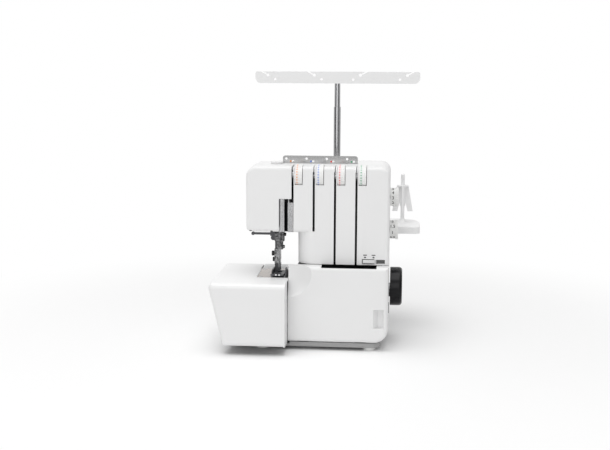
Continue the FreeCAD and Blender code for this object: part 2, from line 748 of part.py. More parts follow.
def take_up_cover():
    """Bright formed sheet beside the first slot: a rolled strip, a thread groove and a flat strip."""
    z = (HEAD_BOTTOM + CLEAR_GAP, TAKE_UP_TOP - CLEAR_GAP)
    left = TAKE_UP_LEFT + CLEAR_GAP
    roll_x = left + TAKE_UP_ROLL
    roll_y = HOUSING_FRONT + TAKE_UP_ROLL - CLEAR_GAP
    roll = tube("z", (roll_x, roll_y), TAKE_UP_ROLL, TAKE_UP_ROLL - TAKE_UP_SHEET, z)
    roll = roll.common(box((left - 1, roll_x + TAKE_UP_ROLL + 1), (-BIG, roll_y), z))
    groove_left = roll_x + TAKE_UP_ROLL - TAKE_UP_SHEET
    groove_right = groove_left + TAKE_UP_SHEET + TAKE_UP_GROOVE
    back = HOUSING_FRONT + TAKE_UP_DEPTH
    near = box((groove_left, groove_left + TAKE_UP_SHEET), (roll_y, back), z)
    floor = box((groove_left, groove_right + TAKE_UP_SHEET), (back - TAKE_UP_SHEET, back), z)
    low = (z[0], TAKE_UP_PLATE_TOP)
    face = HOUSING_FRONT + CLEAR_GAP
    far = box((groove_right, groove_right + TAKE_UP_SHEET), (face, back), low)
    plate_right = SLOT_X[0] + SLOT_WIDTH / 2 - CLEAR_GAP
    plate = box((groove_right, plate_right), (face, face + TAKE_UP_SHEET), low)
    return joined(roll, near, floor, far, plate)


def base_pan():
    """Moulded floor with posts for the frame, a sill and hinge lugs for the looper cover, and the side cover's post."""
    pan = block("xy", (PAN_LEFT, PAN_RIGHT), (PAN_FRONT, PAN_REAR), PAN_CORNER, (FOOT_HEIGHT, PAN_TOP))
    pan = softened(pan, PAN_THICKNESS / 3, "z", FOOT_HEIGHT)
    posts = [rod("z", at, PAN_BOSS_RADIUS, (PAN_TOP, FLOOR_BOTTOM)) for at in PAN_BOSSES]
    raised = (PAN_TOP - 1, PAN_TOP + PAN_SILL_HEIGHT)
    sill = block("xy", (PAN_LEFT, PAN_RIGHT), (PAN_FRONT, PAN_REAR), PAN_CORNER, raised)
    under_cover = box((COVER_LEFT + WALL, PAN_RIGHT), (PAN_FRONT, PAN_FRONT + PAN_SILL_DEPTH), raised)
    posts.append(sill.common(under_cover))
    for x in HINGE_LUGS_X:
        span = (x - HINGE_LUG_HALF, x + HINGE_LUG_HALF)
        nose = rod("x", (HINGE_Y, HINGE_Z), HINGE_NOSE_RADIUS, span)
        half = HINGE_NOSE_RADIUS * 0.8
        arm = box(span, (HINGE_Y, HINGE_LUG_REAR), (HINGE_Z - half, HINGE_Z + half))
        post = box(span, (HINGE_Y + COVER_SWEEP, HINGE_LUG_REAR), (PAN_TOP, HINGE_Z))
        posts += [nose, arm, post]
    posts.append(rod("z", (SIDE_PIN_X, SIDE_PIN_Y), SIDE_PIN_RADIUS, (PAN_TOP, SIDE_PIN_TOP)))
    seat_top = SIDE_KNUCKLES_Z[0][0] - CLEAR_GAP
    posts.append(rod("z", (SIDE_PIN_X, SIDE_PIN_Y), SIDE_KNUCKLE_RADIUS, (PAN_TOP, seat_top)))
    bore = rod("x", (HINGE_Y, HINGE_Z), HINGE_ROD_RADIUS + RUNNING_GAP, (-BIG, BIG))
    return without(joined(pan, *posts), bore)


def rubber_feet():
    """Four tapered rubber feet."""
    feet = [cone("z", at, (FOOT_RADIUS - 1, FOOT_RADIUS), (0, FOOT_HEIGHT)) for at in FOOT_PLACES]
    return Part.makeCompound(feet)


def cover_form(inset):
    """Looper cover's outer form, drawn in by inset, with its concave corner and its finger grip."""
    left = COVER_LEFT - (1 if inset else 0)
    right = COVER_RIGHT - inset
    low = COVER_BOTTOM + inset
    high = COVER_TOP - inset
    front = COVER_FRONT + inset
    rear = COVER_REAR + (1 if inset else 0)
    corners = [(left, low, 0), (right, low, BASE_RADIUS - inset), (right, high, 0), (left, high, 0)]
    form = profile("xz", corners, (front, rear))
    picked = [e for e in edges_at(form, "y", front) if e.BoundBox.XMax > left + 1]
    form = form.makeFillet(COVER_ROUND - inset, picked)
    scoop = Part.makeSphere(SCOOP_RADIUS + inset, Vector(SCOOP_CENTRE_X, SCOOP_CENTRE_Y, SCOOP_CENTRE_Z))
    deep = COVER_FRONT + GRIP_DEPTH + inset
    ramp = [(GRIP_X[0] - inset, COVER_FRONT - 1, 0), (GRIP_X[1] + inset, COVER_FRONT - 1, 0)]
    ramp += [(GRIP_X[1] + inset, deep, GRIP_ROUND), (middle(GRIP_X), deep, GRIP_ROUND)]
    grip = profile("xy", ramp, grown(GRIP_Z, inset))
    return without(form, scoop, grip)


def looper_cover():
    """Door over the loopers: it slides to the right, then swings down about its lower edge."""
    shape = without(cover_form(0), cover_form(WALL))
    notch_z = COVER_TOP - COVER_NOTCH_DEPTH
    cuts = [box(COVER_NOTCH_X, (COVER_FRONT - 1, COVER_REAR + 1), (notch_z, COVER_TOP + 1))]
    under = (COVER_BOTTOM - 1, COVER_BOTTOM + 1.5 * WALL)
    straight = HOUSING_RIGHT - BASE_RADIUS
    cuts.append(box((COVER_LEFT - 1, straight), (COVER_LIP_Y, COVER_REAR + 1), under))
    for x in HINGE_LUGS_X:
        span = (x - HINGE_LUG_HALF - COVER_SLIDE - 1, x + HINGE_LUG_HALF + 1)
        cuts.append(box(span, (COVER_FRONT + WALL, COVER_REAR + 1), (COVER_BOTTOM - 1, HINGE_Z)))
    shape = without(shape, *cuts)
    for x in HINGE_LUGS_X:
        near = x + HINGE_LUG_HALF + 1
        far = x - HINGE_LUG_HALF - COVER_SLIDE - 1 - HINGE_KNUCKLE
        for start in (near, far):
            span = (start, start + HINGE_KNUCKLE)
            web = box(span, (COVER_FRONT + WALL / 2, HINGE_Y), (HINGE_Z - 2, HINGE_Z + 2))
            shape = joined(shape, web, rod("x", (HINGE_Y, HINGE_Z), HINGE_NOSE_RADIUS, span))
    bore = rod("x", (HINGE_Y, HINGE_Z), HINGE_ROD_RADIUS + RUNNING_GAP, (COVER_LEFT, COVER_RIGHT))
    return without(shape, bore)


def looper_cover_hinge_rod():
    """Rod that the looper cover swings on; it slides with the cover in the pan's lugs."""
    return rod("x", (HINGE_Y, HINGE_Z), HINGE_ROD_RADIUS, HINGE_ROD_X)


def side_form(inset):
    """Side cover's outer form, drawn in by inset: a box whose left side leans in towards its foot."""
    slope = (SIDE_BOTTOM_LEFT - SIDE_TOP_LEFT) / (BED_TOP - SIDE_BOTTOM)
    lean = inset * math.hypot(1, slope)
    low = SIDE_BOTTOM - inset
    high = BED_TOP - inset
    low_left = SIDE_BOTTOM_LEFT + lean + slope * inset
    high_left = SIDE_TOP_LEFT + lean + slope * inset
    right = SIDE_RIGHT - inset
    radius = SIDE_ROUND - inset
    corners = [(low_left, low, 0 if inset else radius), (right, low, 0), (right, high, 0), (high_left, high, radius)]
    form = profile("xz", corners, (SIDE_FRONT + inset, SIDE_REAR - inset))
    front = edges_at(form, "y", SIDE_FRONT + inset)
    return form.makeFillet(radius, [edge for edge in front if edge.BoundBox.XMin < right - 1])


def side_cover():
    """Walls of the left cover, with the knuckles that hang it on the pan's post."""
    shape = without(side_form(0), side_form(WALL))
    lid = box((-BIG, BIG), (-BIG, BIG), (BED_BOTTOM, BIG))
    right_gap = box((SIDE_RIGHT - 2 * WALL, BIG), (SIDE_RIGHT_REAR, BIG), (-BIG, BIG))
    rear_gap = box((SIDE_TURN_IN, BIG), (SIDE_REAR - 2 * WALL, BIG), (-BIG, BIG))
    shape = without(shape, lid, right_gap, rear_gap)
    for z in SIDE_KNUCKLES_Z:
        arm = box((SIDE_TOP_LEFT, SIDE_PIN_X), (SIDE_PIN_Y - 3, SIDE_PIN_Y + 3), z).common(side_form(0))
        shape = joined(shape, arm, rod("z", (SIDE_PIN_X, SIDE_PIN_Y), SIDE_KNUCKLE_RADIUS, z))
    bore = rod("z", (SIDE_PIN_X, SIDE_PIN_Y), SIDE_PIN_RADIUS + RUNNING_GAP, (SIDE_BOTTOM, BED_BOTTOM))
    return without(shape, bore)


def cloth_plate():
    """Flat top of the side cover, cut out round the needle plate."""
    slab = side_form(0).common(box((-BIG, BIG), (-BIG, BIG), (BED_BOTTOM, BIG)))
    front_edge = PLATE_Y[0] - PLATE_GAP
    rear_edge = PLATE_Y[1] + PLATE_GAP
    plate_hole = box((PLATE_X[0] - PLATE_GAP, BIG), (front_edge, rear_edge), (0, BIG))
    rear_hole = box((PLATE_X[0] - PLATE_GAP - REAR_BED_GAP, BIG), (PLATE_Y[1] - PLATE_GAP, BIG), (0, BIG))
    return without(slab, plate_hole, rear_hole)


def rear_bed_cover():
    """Fixed bed behind the needle plate, turned down at the back."""
    right = COLUMN_LEFT - SEAM
    top = box((PLATE_X[0], right), (PLATE_Y[1] + PLATE_GAP, SIDE_REAR), (BED_BOTTOM, BED_TOP))
    wall = box((REAR_BED_WALL_LEFT, right), (SIDE_REAR, SIDE_REAR + WALL), (PAN_TOP, BED_BOTTOM - SEAM))
    lip = box((PLATE_X[0], right), (SIDE_REAR, SIDE_REAR + WALL), (BED_BOTTOM - SEAM, BED_TOP))
    return joined(top, wall, lip)


def bed_cover():
    """Dark plate over the looper chamber, under the column."""
    front = COVER_REAR + CLEAR_GAP
    left = COLUMN_LEFT - 2
    corners = [(left, front, COLUMN_RADIUS / 2), (END_SPLIT_X, front, 0)]
    corners += [(END_SPLIT_X, REAR_SPLIT_Y - SEAM, 0), (left, REAR_SPLIT_Y - SEAM, 0)]
    plate = profile("xy", corners, (DECK_Z[1], DECK_Z[1] + WALL))
    rod_way = box(grown(ROD_X, 2), (SHAFT_Y - ROD_EYE_RADIUS - 3, SHAFT_Y + ROD_EYE_RADIUS + 3), (0, BIG))
    return without(plate, rod_way)


# Frame

def machine_frame():
    """Cast frame: floor, bearing walls, deck, post, arm and head bosses."""
    parts = [box(FLOOR_X, FLOOR_Y, (FLOOR_BOTTOM, FLOOR_TOP))]
    parts.append(box(BEARING_LEFT, FRAME_Y, (FLOOR_TOP, DECK_Z[0])))
    parts.append(box(BEARING_RIGHT, FRAME_Y, (FLOOR_TOP, DECK_Z[0])))
    parts.append(box((BEARING_LEFT[0], BEARING_RIGHT[1]), FRAME_Y, DECK_Z))
    parts.append(box(POST_X, POST_Y, (DECK_Z[1], ARM_Z[1])))
    parts.append(box((HEAD_PLATE_X[0], POST_X[1]), ARM_Y, ARM_Z))
    parts.append(box(HEAD_PLATE_X, (HEAD_BOSS_Y[0], ARM_Y[1]), (LOWER_BOSS_Z[0], ARM_Z[1])))
    for z in (LOWER_BOSS_Z, UPPER_BOSS_Z):
        parts.append(box((HEAD_PLATE_X[0], BOSS_RIGHT), HEAD_BOSS_Y, z))
    lug_x = (PRESSER_X - 2 * LIFTER_SHAFT_RADIUS, PRESSER_X + 2 * LIFTER_SHAFT_RADIUS)
    parts.append(box((HEAD_PLATE_X[0], lug_x[1]), LIFTER_LUG_Y, LOWER_BOSS_Z))
    parts.append(box(lug_x, LIFTER_LUG_Y, (LIFTER_Z - 2 * LIFTER_SHAFT_RADIUS, LOWER_BOSS_Z[1])))
    parts.append(box(ROCKER_LUG_X, (ROCKER_Y - ROCKER_HUB, ARM_Y[1]), (ROCKER_Z - ROCKER_HUB, ARM_Z[1])))
    parts.append(box(PLATE_WALL_X, PLATE_Y, (FLOOR_TOP, PLATE_BOTTOM)))
    ledge_x = (PLATE_WALL_X[1], FEED_CARRIER_X[0] + 5)
    parts.append(box(ledge_x, PLATE_Y, (LEDGE_TOP - 6, LEDGE_TOP)))
    bed_rest_x = (PLATE_WALL_X[0], PLATE_WALL_X[1])
    parts.append(box(bed_rest_x, (PLATE_Y[1], SIDE_REAR - CLEAR_GAP), (FLOOR_TOP, BED_BOTTOM)))
    parts.append(box(KNIFE_POST_X, KNIFE_Y, (FLOOR_TOP, KNIFE_POST_TOP)))
    parts.append(box(KNIFE_GUIDE_X, KNIFE_Y, (FLOOR_TOP, KNIFE_GUIDE_TOP)))
    parts.append(box(LOOPER_PLATE_X, LOOPER_PLATE_Y, (FLOOR_TOP, LOOPER_PLATE_TOP)))
    for x in SADDLE_X:
        parts.append(box(x, (MOTOR_Y - MOTOR_RADIUS * 0.8, MOTOR_Y + MOTOR_RADIUS * 0.8), (FLOOR_TOP, MOTOR_Z)))
    frame = joined(*parts)
    cuts = [rod("x", (SHAFT_Y, SHAFT_Z), BUSH_RADIUS, (BEARING_LEFT[0] - 1, BEARING_RIGHT[1] + 1))]
    cuts.append(rod("x", (MOTOR_Y, MOTOR_Z), MOTOR_RADIUS, (SADDLE_X[0][0] - 1, BEARING_RIGHT[0])))
    cuts.append(rod("x", (MOTOR_Y, MOTOR_Z), MOTOR_SHAFT_RADIUS + 1, (BEARING_RIGHT[0] - 1, BEARING_RIGHT[1] + 1)))
    ring = ROD_RING_RADIUS + ROD_RING_WALL + 1
    cuts.append(box(grown(ROD_X, 4), (FRAME_Y[0] - 1, SHAFT_Y + ring), (DECK_Z[0] - 1, DECK_Z[1] + 1)))
    cuts.append(rod("z", (NEEDLE_X, NEEDLE_Y), NEEDLE_BAR_RADIUS + RUNNING_GAP, (LOWER_BOSS_Z[0] - 1, ARM_Z[1])))
    cuts.append(rod("z", (PRESSER_X, PRESSER_Y), PRESSER_RADIUS + RUNNING_GAP, grown(LOWER_BOSS_Z, 1)))
    cuts.append(rod("z", (PRESSER_X, PRESSER_Y), STEM_RADIUS + RUNNING_GAP, grown(UPPER_BOSS_Z, 1)))
    cuts.append(rod("y", (PRESSER_X, LIFTER_Z), LIFTER_SHAFT_RADIUS + RUNNING_GAP, grown(LIFTER_LUG_Y, 1)))
    cuts.append(rod("x", (ROCKER_Y, ROCKER_Z), ROCKER_RADIUS + RUNNING_GAP, (ROCKER_LUG_X[0] - 1, ROCKER_RIGHT + 1)))
    for pivot in (UPPER_LOOPER_PIVOT, LOWER_LOOPER_PIVOT):
        cuts.append(rod("y", pivot, LOOPER_SHAFT_RADIUS + RUNNING_GAP, grown(LOOPER_PLATE_Y, 1)))
    cuts += [screw_hole("z", (PLATE_SCREW_X, y), PLATE_BOTTOM, 1) for y in PLATE_SCREWS_Y]
    return without(frame, *cuts)


def shaft_bushes():
    """Two plain bearings for the main shaft."""
    bushes = []
    for wall in (BEARING_LEFT, BEARING_RIGHT):
        bushes.append(tube("x", (SHAFT_Y, SHAFT_Z), BUSH_RADIUS, SHAFT_RADIUS + RUNNING_GAP, grown(wall, BUSH_LIP)))
    return Part.makeCompound(bushes)


# Drive

def main_shaft():
    """Crankshaft along the bed: two journals, two webs and the crank pin between them."""
    at = (SHAFT_Y, SHAFT_Z)
    left_web = (ROD_X[0] - CLEAR_GAP - CRANK_WEB, ROD_X[0] - CLEAR_GAP)
    right_web = (ROD_X[1] + CLEAR_GAP, ROD_X[1] + CLEAR_GAP + CRANK_WEB)
    rim = CRANK_THROW + CRANK_WEB_RIM
    parts = [rod("x", at, SHAFT_RADIUS, (SHAFT_LEFT, left_web[1]))]
    parts.append(rod("x", at, SHAFT_RADIUS, (right_web[0], WHEEL_X[1] - CRANK_WEB)))
    parts += [rod("x", at, rim, left_web), rod("x", at, rim, right_web)]
    parts.append(rod("x", (SHAFT_Y, CRANK_Z), CRANK_PIN_RADIUS, (left_web[0], right_web[1])))
    parts.append(rod("x", at, LOOPER_DISC_RADIUS, (SHAFT_LEFT, SHAFT_LEFT + LOOPER_DISC_WIDTH)))
    return joined(*parts)


def handwheel():
    """Dished handwheel with a rounded rim."""
    at = (SHAFT_Y, SHAFT_Z)
    wheel = rod("x", at, WHEEL_RADIUS, WHEEL_X)
    wheel = softened(wheel, WHEEL_ROUND, "x", WHEEL_X[1])
    wheel = softened(wheel, WHEEL_ROUND / 5, "x", WHEEL_X[0])
    dish = cone("x", at, (WHEEL_HUB_RADIUS, WHEEL_RADIUS - 2 * WHEEL_ROUND), (WHEEL_X[1] - 3, WHEEL_X[1] + 1))
    bore = rod("x", at, SHAFT_RADIUS, (WHEEL_X[0] - 1, WHEEL_X[1] - CRANK_WEB))
    return without(wheel, dish, bore)


def pulley(at, radius, bore_radius):
    """Belt pulley with two flanges."""
    left, right = PULLEY_X
    wheel = rod("x", at, radius, PULLEY_X)
    rims = [rod("x", at, radius + PULLEY_FLANGE, (left, left + FLANGE_WIDTH))]
    rims.append(rod("x", at, radius + PULLEY_FLANGE, (right - FLANGE_WIDTH, right)))
    return without(joined(wheel, *rims), rod("x", at, bore_radius, grown(PULLEY_X, 1)))


def shaft_pulley():
    """Large pulley on the main shaft."""
    return pulley((SHAFT_Y, SHAFT_Z), PULLEY_RADIUS, SHAFT_RADIUS)


def motor_pulley():
    """Small pulley, made in one with the motor's shaft."""
    at = (MOTOR_Y, MOTOR_Z)
    wheel = rod("x", at, MOTOR_PULLEY_RADIUS, PULLEY_X)
    left, right = PULLEY_X
    rims = [rod("x", at, MOTOR_PULLEY_RADIUS + PULLEY_FLANGE, (left, left + FLANGE_WIDTH))]
    rims.append(rod("x", at, MOTOR_PULLEY_RADIUS + PULLEY_FLANGE, (right - FLANGE_WIDTH, right)))
    shaft = rod("x", at, MOTOR_SHAFT_RADIUS, (BEARING_RIGHT[0] - MOTOR_SHAFT_DEPTH + 1, right))
    return joined(wheel, shaft, *rims)


def belt_loop(growth, span):
    """Solid inside a belt round both pulleys, at a distance growth from their treads."""
    big = PULLEY_RADIUS + growth
    small = MOTOR_PULLEY_RADIUS + growth
    dy = MOTOR_Y - SHAFT_Y
    dz = MOTOR_Z - SHAFT_Z
    distance = math.hypot(dy, dz)
    heading = math.atan2(dz, dy)
    lean = math.acos((big - small) / distance)
    points = []
    for cy, cz, r in ((SHAFT_Y, SHAFT_Z, big), (MOTOR_Y, MOTOR_Z, small)):
        for side in (1, -1):
            angle = heading + side * lean
            points.append(Vector(span[0], cy + r * math.cos(angle), cz + r * math.sin(angle)))
    far_big = Vector(span[0], SHAFT_Y - big * math.cos(heading), SHAFT_Z - big * math.sin(heading))
    far_small = Vector(span[0], MOTOR_Y + small * math.cos(heading), MOTOR_Z + small * math.sin(heading))
    edges = [Part.Arc(points[0], far_big, points[1]).toShape(), Part.makeLine(points[1], points[3])]
    edges += [Part.Arc(points[3], far_small, points[2]).toShape(), Part.makeLine(points[2], points[0])]
    return Part.Face(Part.Wire(edges)).extrude(Vector(span[1] - span[0], 0, 0))


def drive_belt():
    """Belt from the motor to the main shaft."""
    span = (PULLEY_X[0] + FLANGE_WIDTH + CLEAR_GAP, PULLEY_X[1] - FLANGE_WIDTH - CLEAR_GAP)
    return without(belt_loop(CLEAR_GAP + BELT_THICKNESS, span), belt_loop(CLEAR_GAP, span))


def motor():
    """Motor body in its saddles, with the bore that carries its shaft."""
    at = (MOTOR_Y, MOTOR_Z)
    body = rod("x", at, MOTOR_RADIUS, (MOTOR_LEFT, BEARING_RIGHT[0]))
    body = softened(body, 3, "x", MOTOR_LEFT)
    bore = rod("x", at, MOTOR_SHAFT_RADIUS + RUNNING_GAP, (BEARING_RIGHT[0] - MOTOR_SHAFT_DEPTH, BEARING_RIGHT[0] + 1))
    return without(body, bore)


# Needle drive

def needle_bar():
    """Needle bar with the stud that the rocker's fork drives."""
    at = (NEEDLE_X, NEEDLE_Y)
    bar = rod("z", at, NEEDLE_BAR_RADIUS, (CLAMP_Z[0] + CLAMP_SEAT, NEEDLE_BAR_TOP))
    collar_x = (NEEDLE_X - STUD_BLOCK_LEFT, NEEDLE_X + STUD_BLOCK_RIGHT)
    collar_y = (NEEDLE_Y - STUD_BLOCK_HALF, NEEDLE_Y + STUD_BLOCK_HALF)
    collar = box(collar_x, collar_y, (STUD_Z - STUD_HALF, STUD_Z + STUD_HALF))
    stud = rod("x", (NEEDLE_Y, STUD_Z), STUD_RADIUS, (NEEDLE_X, LEVER_X[1] + 1))
    return joined(bar, collar, stud)


def needle_places():
    """Where the two needles stand."""
    return [(NEEDLE_X - NEEDLE_GAP / 2, NEEDLE_Y), (NEEDLE_X + NEEDLE_GAP / 2, NEEDLE_Y)]


def needle_clamp():
    """Clamp on the needle bar, with its two screws as separate solids."""
    upper = block("xy", CLAMP_X, CLAMP_Y, 3, CLAMP_Z)
    lower = block("xy", CLAMP_LOW_X, CLAMP_LOW_Y, 2, (CLAMP_LOW_BOTTOM, CLAMP_Z[0]))
    bar = rod("z", (NEEDLE_X, NEEDLE_Y), NEEDLE_BAR_RADIUS, (CLAMP_Z[0] + CLAMP_SEAT, CLAMP_Z[1] + 1))
    sockets = [rod("z", at, NEEDLE_SHANK_RADIUS, (CLAMP_LOW_BOTTOM - 1, CLAMP_Z[0])) for at in needle_places()]
    body = without(joined(upper, lower), bar, *sockets)
    screws = []
    for z, right in ((CLAMP_Z[1] - 3.2, CLAMP_X[1]), (CLAMP_LOW_BOTTOM + 4, CLAMP_LOW_X[1])):
        head = rod("x", (NEEDLE_Y, z), CLAMP_SCREW_RADIUS, (right, right + CLAMP_SCREW_LENGTH))
        screws.append(softened(head, 0.5, "x", right + CLAMP_SCREW_LENGTH))
    return Part.makeCompound([body] + screws)


def needles():
    """Two needles: shank, blade and point."""
    made = []
    for at in needle_places():
        shank = rod("z", at, NEEDLE_SHANK_RADIUS, (NEEDLE_SHANK_BOTTOM, CLAMP_Z[0]))
        blade = rod("z", at, NEEDLE_BLADE_RADIUS, (NEEDLE_TIP + 3, NEEDLE_SHANK_BOTTOM))
        point = cone("z", at, (0.1, NEEDLE_BLADE_RADIUS), (NEEDLE_TIP, NEEDLE_TIP + 3))
        made.append(joined(shank, blade, point))
    return Part.makeCompound(made)


def needle_rocker():
    """Rock shaft with the fork that moves the needle bar and the arm that the connecting rod drives."""
    at = (ROCKER_Y, ROCKER_Z)
    centre = Vector(0, ROCKER_Y, ROCKER_Z)
    shaft = rod("x", at, ROCKER_RADIUS, (LEVER_X[0], ROCKER_RIGHT))
    hub = rod("x", at, ROCKER_HUB, LEVER_X)
    tip = ROCKER_Y - math.hypot(LEVER_REACH, STUD_Z - ROCKER_Z) - LEVER_OVERRUN
    lever = box(LEVER_X, (tip, ROCKER_Y), (ROCKER_Z - LEVER_HALF, ROCKER_Z + LEVER_HALF))
    gap = STUD_RADIUS + FORK_GAP
    fork = box(grown(LEVER_X, 1), (tip - 1, tip + 2.6 * LEVER_OVERRUN), (ROCKER_Z - gap, ROCKER_Z + gap))
    arm_x = (ROD_X[0] - CLEAR_GAP - CRANK_WEB - 3, ROD_X[0] - CLEAR_GAP)
    pin_y = ROCKER_Y - ARM_REACH / math.cos(math.radians(LEVER_ANGLE))
    arm = box(arm_x, (pin_y, ROCKER_Y), (ROCKER_Z - ROD_EYE_RADIUS * 0.8, ROCKER_Z + ROD_EYE_RADIUS * 0.8))
    arm_hub = rod("x", at, ROCKER_HUB, arm_x)
    arm_eye = rod("x", (pin_y, ROCKER_Z), ROD_EYE_RADIUS * 0.8, arm_x)
    pin = rod("x", (pin_y, ROCKER_Z), ROD_PIN_RADIUS, (arm_x[0], ROD_X[1] + CLEAR_GAP))
    swung = joined(without(lever, fork), hub, arm, arm_hub, arm_eye, pin)
    return joined(shaft, turned(swung, centre, Vector(1, 0, 0), -LEVER_ANGLE))


def connecting_rod():
    """Rod from the crank to the rocker; its lower ring is wide, because the chain is open there."""
    top = (SHAFT_Y, ROD_TOP_Z)
    low = (SHAFT_Y, CRANK_Z)
    eye = rod("x", top, ROD_EYE_RADIUS, ROD_X)
    ring = rod("x", low, ROD_RING_RADIUS + ROD_RING_WALL, ROD_X)
    shank_z = (CRANK_Z + ROD_RING_RADIUS, ROD_TOP_Z)
    shank = box(ROD_X, (SHAFT_Y - ROD_SHANK / 2, SHAFT_Y + ROD_SHANK / 2), shank_z)
    bore = rod("x", top, ROD_PIN_RADIUS + RUNNING_GAP, grown(ROD_X, 1))
    wide = rod("x", low, ROD_RING_RADIUS, grown(ROD_X, 1))
    return without(joined(eye, ring, shank), bore, wide)


# Presser

def presser_bar():
    """Presser bar with its lifting collar and the collar that its spring stands on."""
    at = (PRESSER_X, PRESSER_Y)
    bar = rod("z", at, PRESSER_RADIUS, (HOLDER_Z[1] - HOLDER_BORE, PRESSER_TOP))
    tongue_y = (PRESSER_Y - TONGUE_FRONT, PRESSER_Y + TONGUE_BACK)
    tongue = box(TONGUE_X, tongue_y, (TONGUE_BOTTOM, TONGUE_BOTTOM + TONGUE_HEIGHT))
    collar = rod("z", at, PRESSER_COLLAR_RADIUS, PRESSER_COLLAR_Z)
    return joined(bar, tongue, collar)


def presser_spring():
    """Coil spring between the presser bar's collar and the pressure screw."""
    low = PRESSER_COLLAR_Z[1] + SPRING_WIRE + CLEAR_GAP
    high = STEM_BOTTOM - SPRING_WIRE - CLEAR_GAP
    quarters = SPRING_TURNS * 4
    points = []
    for i in range(2 * quarters + 1):
        angle = math.pi * i / 4
        x = PRESSER_X + SPRING_RADIUS * math.cos(angle)
        y = PRESSER_Y + SPRING_RADIUS * math.sin(angle)
        points.append(Vector(x, y, low + (high - low) * i / (2 * quarters)))
    arcs = [Part.Arc(points[i], points[i + 1], points[i + 2]).toShape() for i in range(0, 2 * quarters, 2)]
    section = Part.Wire(Part.makeCircle(SPRING_WIRE, points[0], Vector(0, 1, 0)))
    return Part.Wire(arcs).makePipeShell([section], True, False)


def pressure_knob():
    """Knob on the lid, in one with the screw that loads the spring."""
    at = (PRESSER_X, PRESSER_Y)
    seat = HOUSING_TOP + CLEAR_GAP
    span = (seat, seat + KNOB_HEIGHT)
    knob = softened(rod("z", at, KNOB_RADIUS, span), KNOB_EDGE, "z", span[1])
    knob = ridged(knob, "z", at, KNOB_RADIUS, 0.6, KNOB_RIDGES, span)
    return joined(knob, rod("z", at, STEM_RADIUS, (STEM_BOTTOM, seat + 1)))


def presser_lifter():
    """Lever behind the head, its cross shaft and the cam under the presser bar's tongue."""
    axis = (PRESSER_X, LIFTER_Z)
    front = PRESSER_Y + PRESSER_RADIUS + 2 * CLEAR_GAP
    shaft = rod("y", axis, LIFTER_SHAFT_RADIUS, (front, LIFTER_Y[1]))
    hub = rod("y", axis, 2 * LIFTER_SHAFT_RADIUS - 1, LIFTER_Y)
    half = LIFTER_TIP_RADIUS * 0.6
    lever = box((LIFTER_TIP, PRESSER_X), LIFTER_Y, (LIFTER_Z - half, LIFTER_Z + half))
    tip = rod("y", (LIFTER_TIP, LIFTER_Z), LIFTER_TIP_RADIUS, LIFTER_Y)
    cam_y = (front, LIFTER_LUG_Y[0] - CLEAR_GAP)
    cam = rod("y", (PRESSER_X - LIFTER_THROW, LIFTER_Z), LIFTER_CAM_RADIUS, cam_y)
    web = box((PRESSER_X - LIFTER_THROW, PRESSER_X), cam_y, (LIFTER_Z - LIFTER_SHAFT_RADIUS, LIFTER_Z + LIFTER_SHAFT_RADIUS))
    return joined(shaft, hub, lever, tip, cam, web)


def presser_foot_holder():
    """Block at the foot of the presser bar, with its clamp screw and the foot's release lever."""
    body = block("xy", HOLDER_X, HOLDER_Y, HOLDER_ROUND, HOLDER_Z)
    bore = rod("z", (PRESSER_X, PRESSER_Y), PRESSER_RADIUS, (HOLDER_Z[1] - HOLDER_BORE, HOLDER_Z[1] + 1))
    at = (PRESSER_Y, HOLDER_SCREW_Z)
    screw_head = rod("x", at, HOLDER_SCREW_RADIUS, (HOLDER_X[0] - HOLDER_SCREW_LENGTH, HOLDER_X[0]))
    release = box((HOLDER_X[0] - RELEASE_LENGTH, HOLDER_X[0]), (PRESSER_Y - 5, PRESSER_Y + 2), RELEASE_Z)
    return joined(without(body, bore), screw_head, release)


def presser_foot():
    """Foot with turned-up toes, a needle slot and the tower that clips into the holder."""
    toe = FOOT_Y[0] + TOE_LENGTH
    corners = [(FOOT_Y[0], SOLE_BOTTOM + SOLE_THICKNESS * 0.7, 0), (toe, SOLE_BOTTOM, TOE_BEND)]
    corners += [(FOOT_Y[1], SOLE_BOTTOM, 0), (FOOT_Y[1], SOLE_BOTTOM + SOLE_THICKNESS, 0)]
    corners += [(toe, SOLE_BOTTOM + SOLE_THICKNESS, TOE_BEND), (FOOT_Y[0], SOLE_BOTTOM + SOLE_THICKNESS * 1.7, 0)]
    sole = profile("yz", corners, FOOT_X)
    wall_y = (FOOT_Y[0] + FOOT_WALL_SETBACK, FOOT_Y[1])
    wall_z = (SOLE_BOTTOM + SOLE_LAP, SOLE_BOTTOM + FOOT_WALL_HEIGHT)
    left_wall = box((FOOT_X[0], FOOT_X[0] + FOOT_WALL), wall_y, wall_z)
    tower = box(FOOT_TOWER_X, FOOT_TOWER_Y, (SOLE_BOTTOM + SOLE_LAP, HOLDER_Z[0]))
    slot_x = (NEEDLE_X - NEEDLE_GAP - 1.5, NEEDLE_X + NEEDLE_GAP + 1.5)
    slot = box(slot_x, (NEEDLE_Y - 4, NEEDLE_Y + 4), (0, SOLE_BOTTOM + 2 * SOLE_THICKNESS))
    return without(joined(sole, left_wall, tower), slot)


# Bed pieces

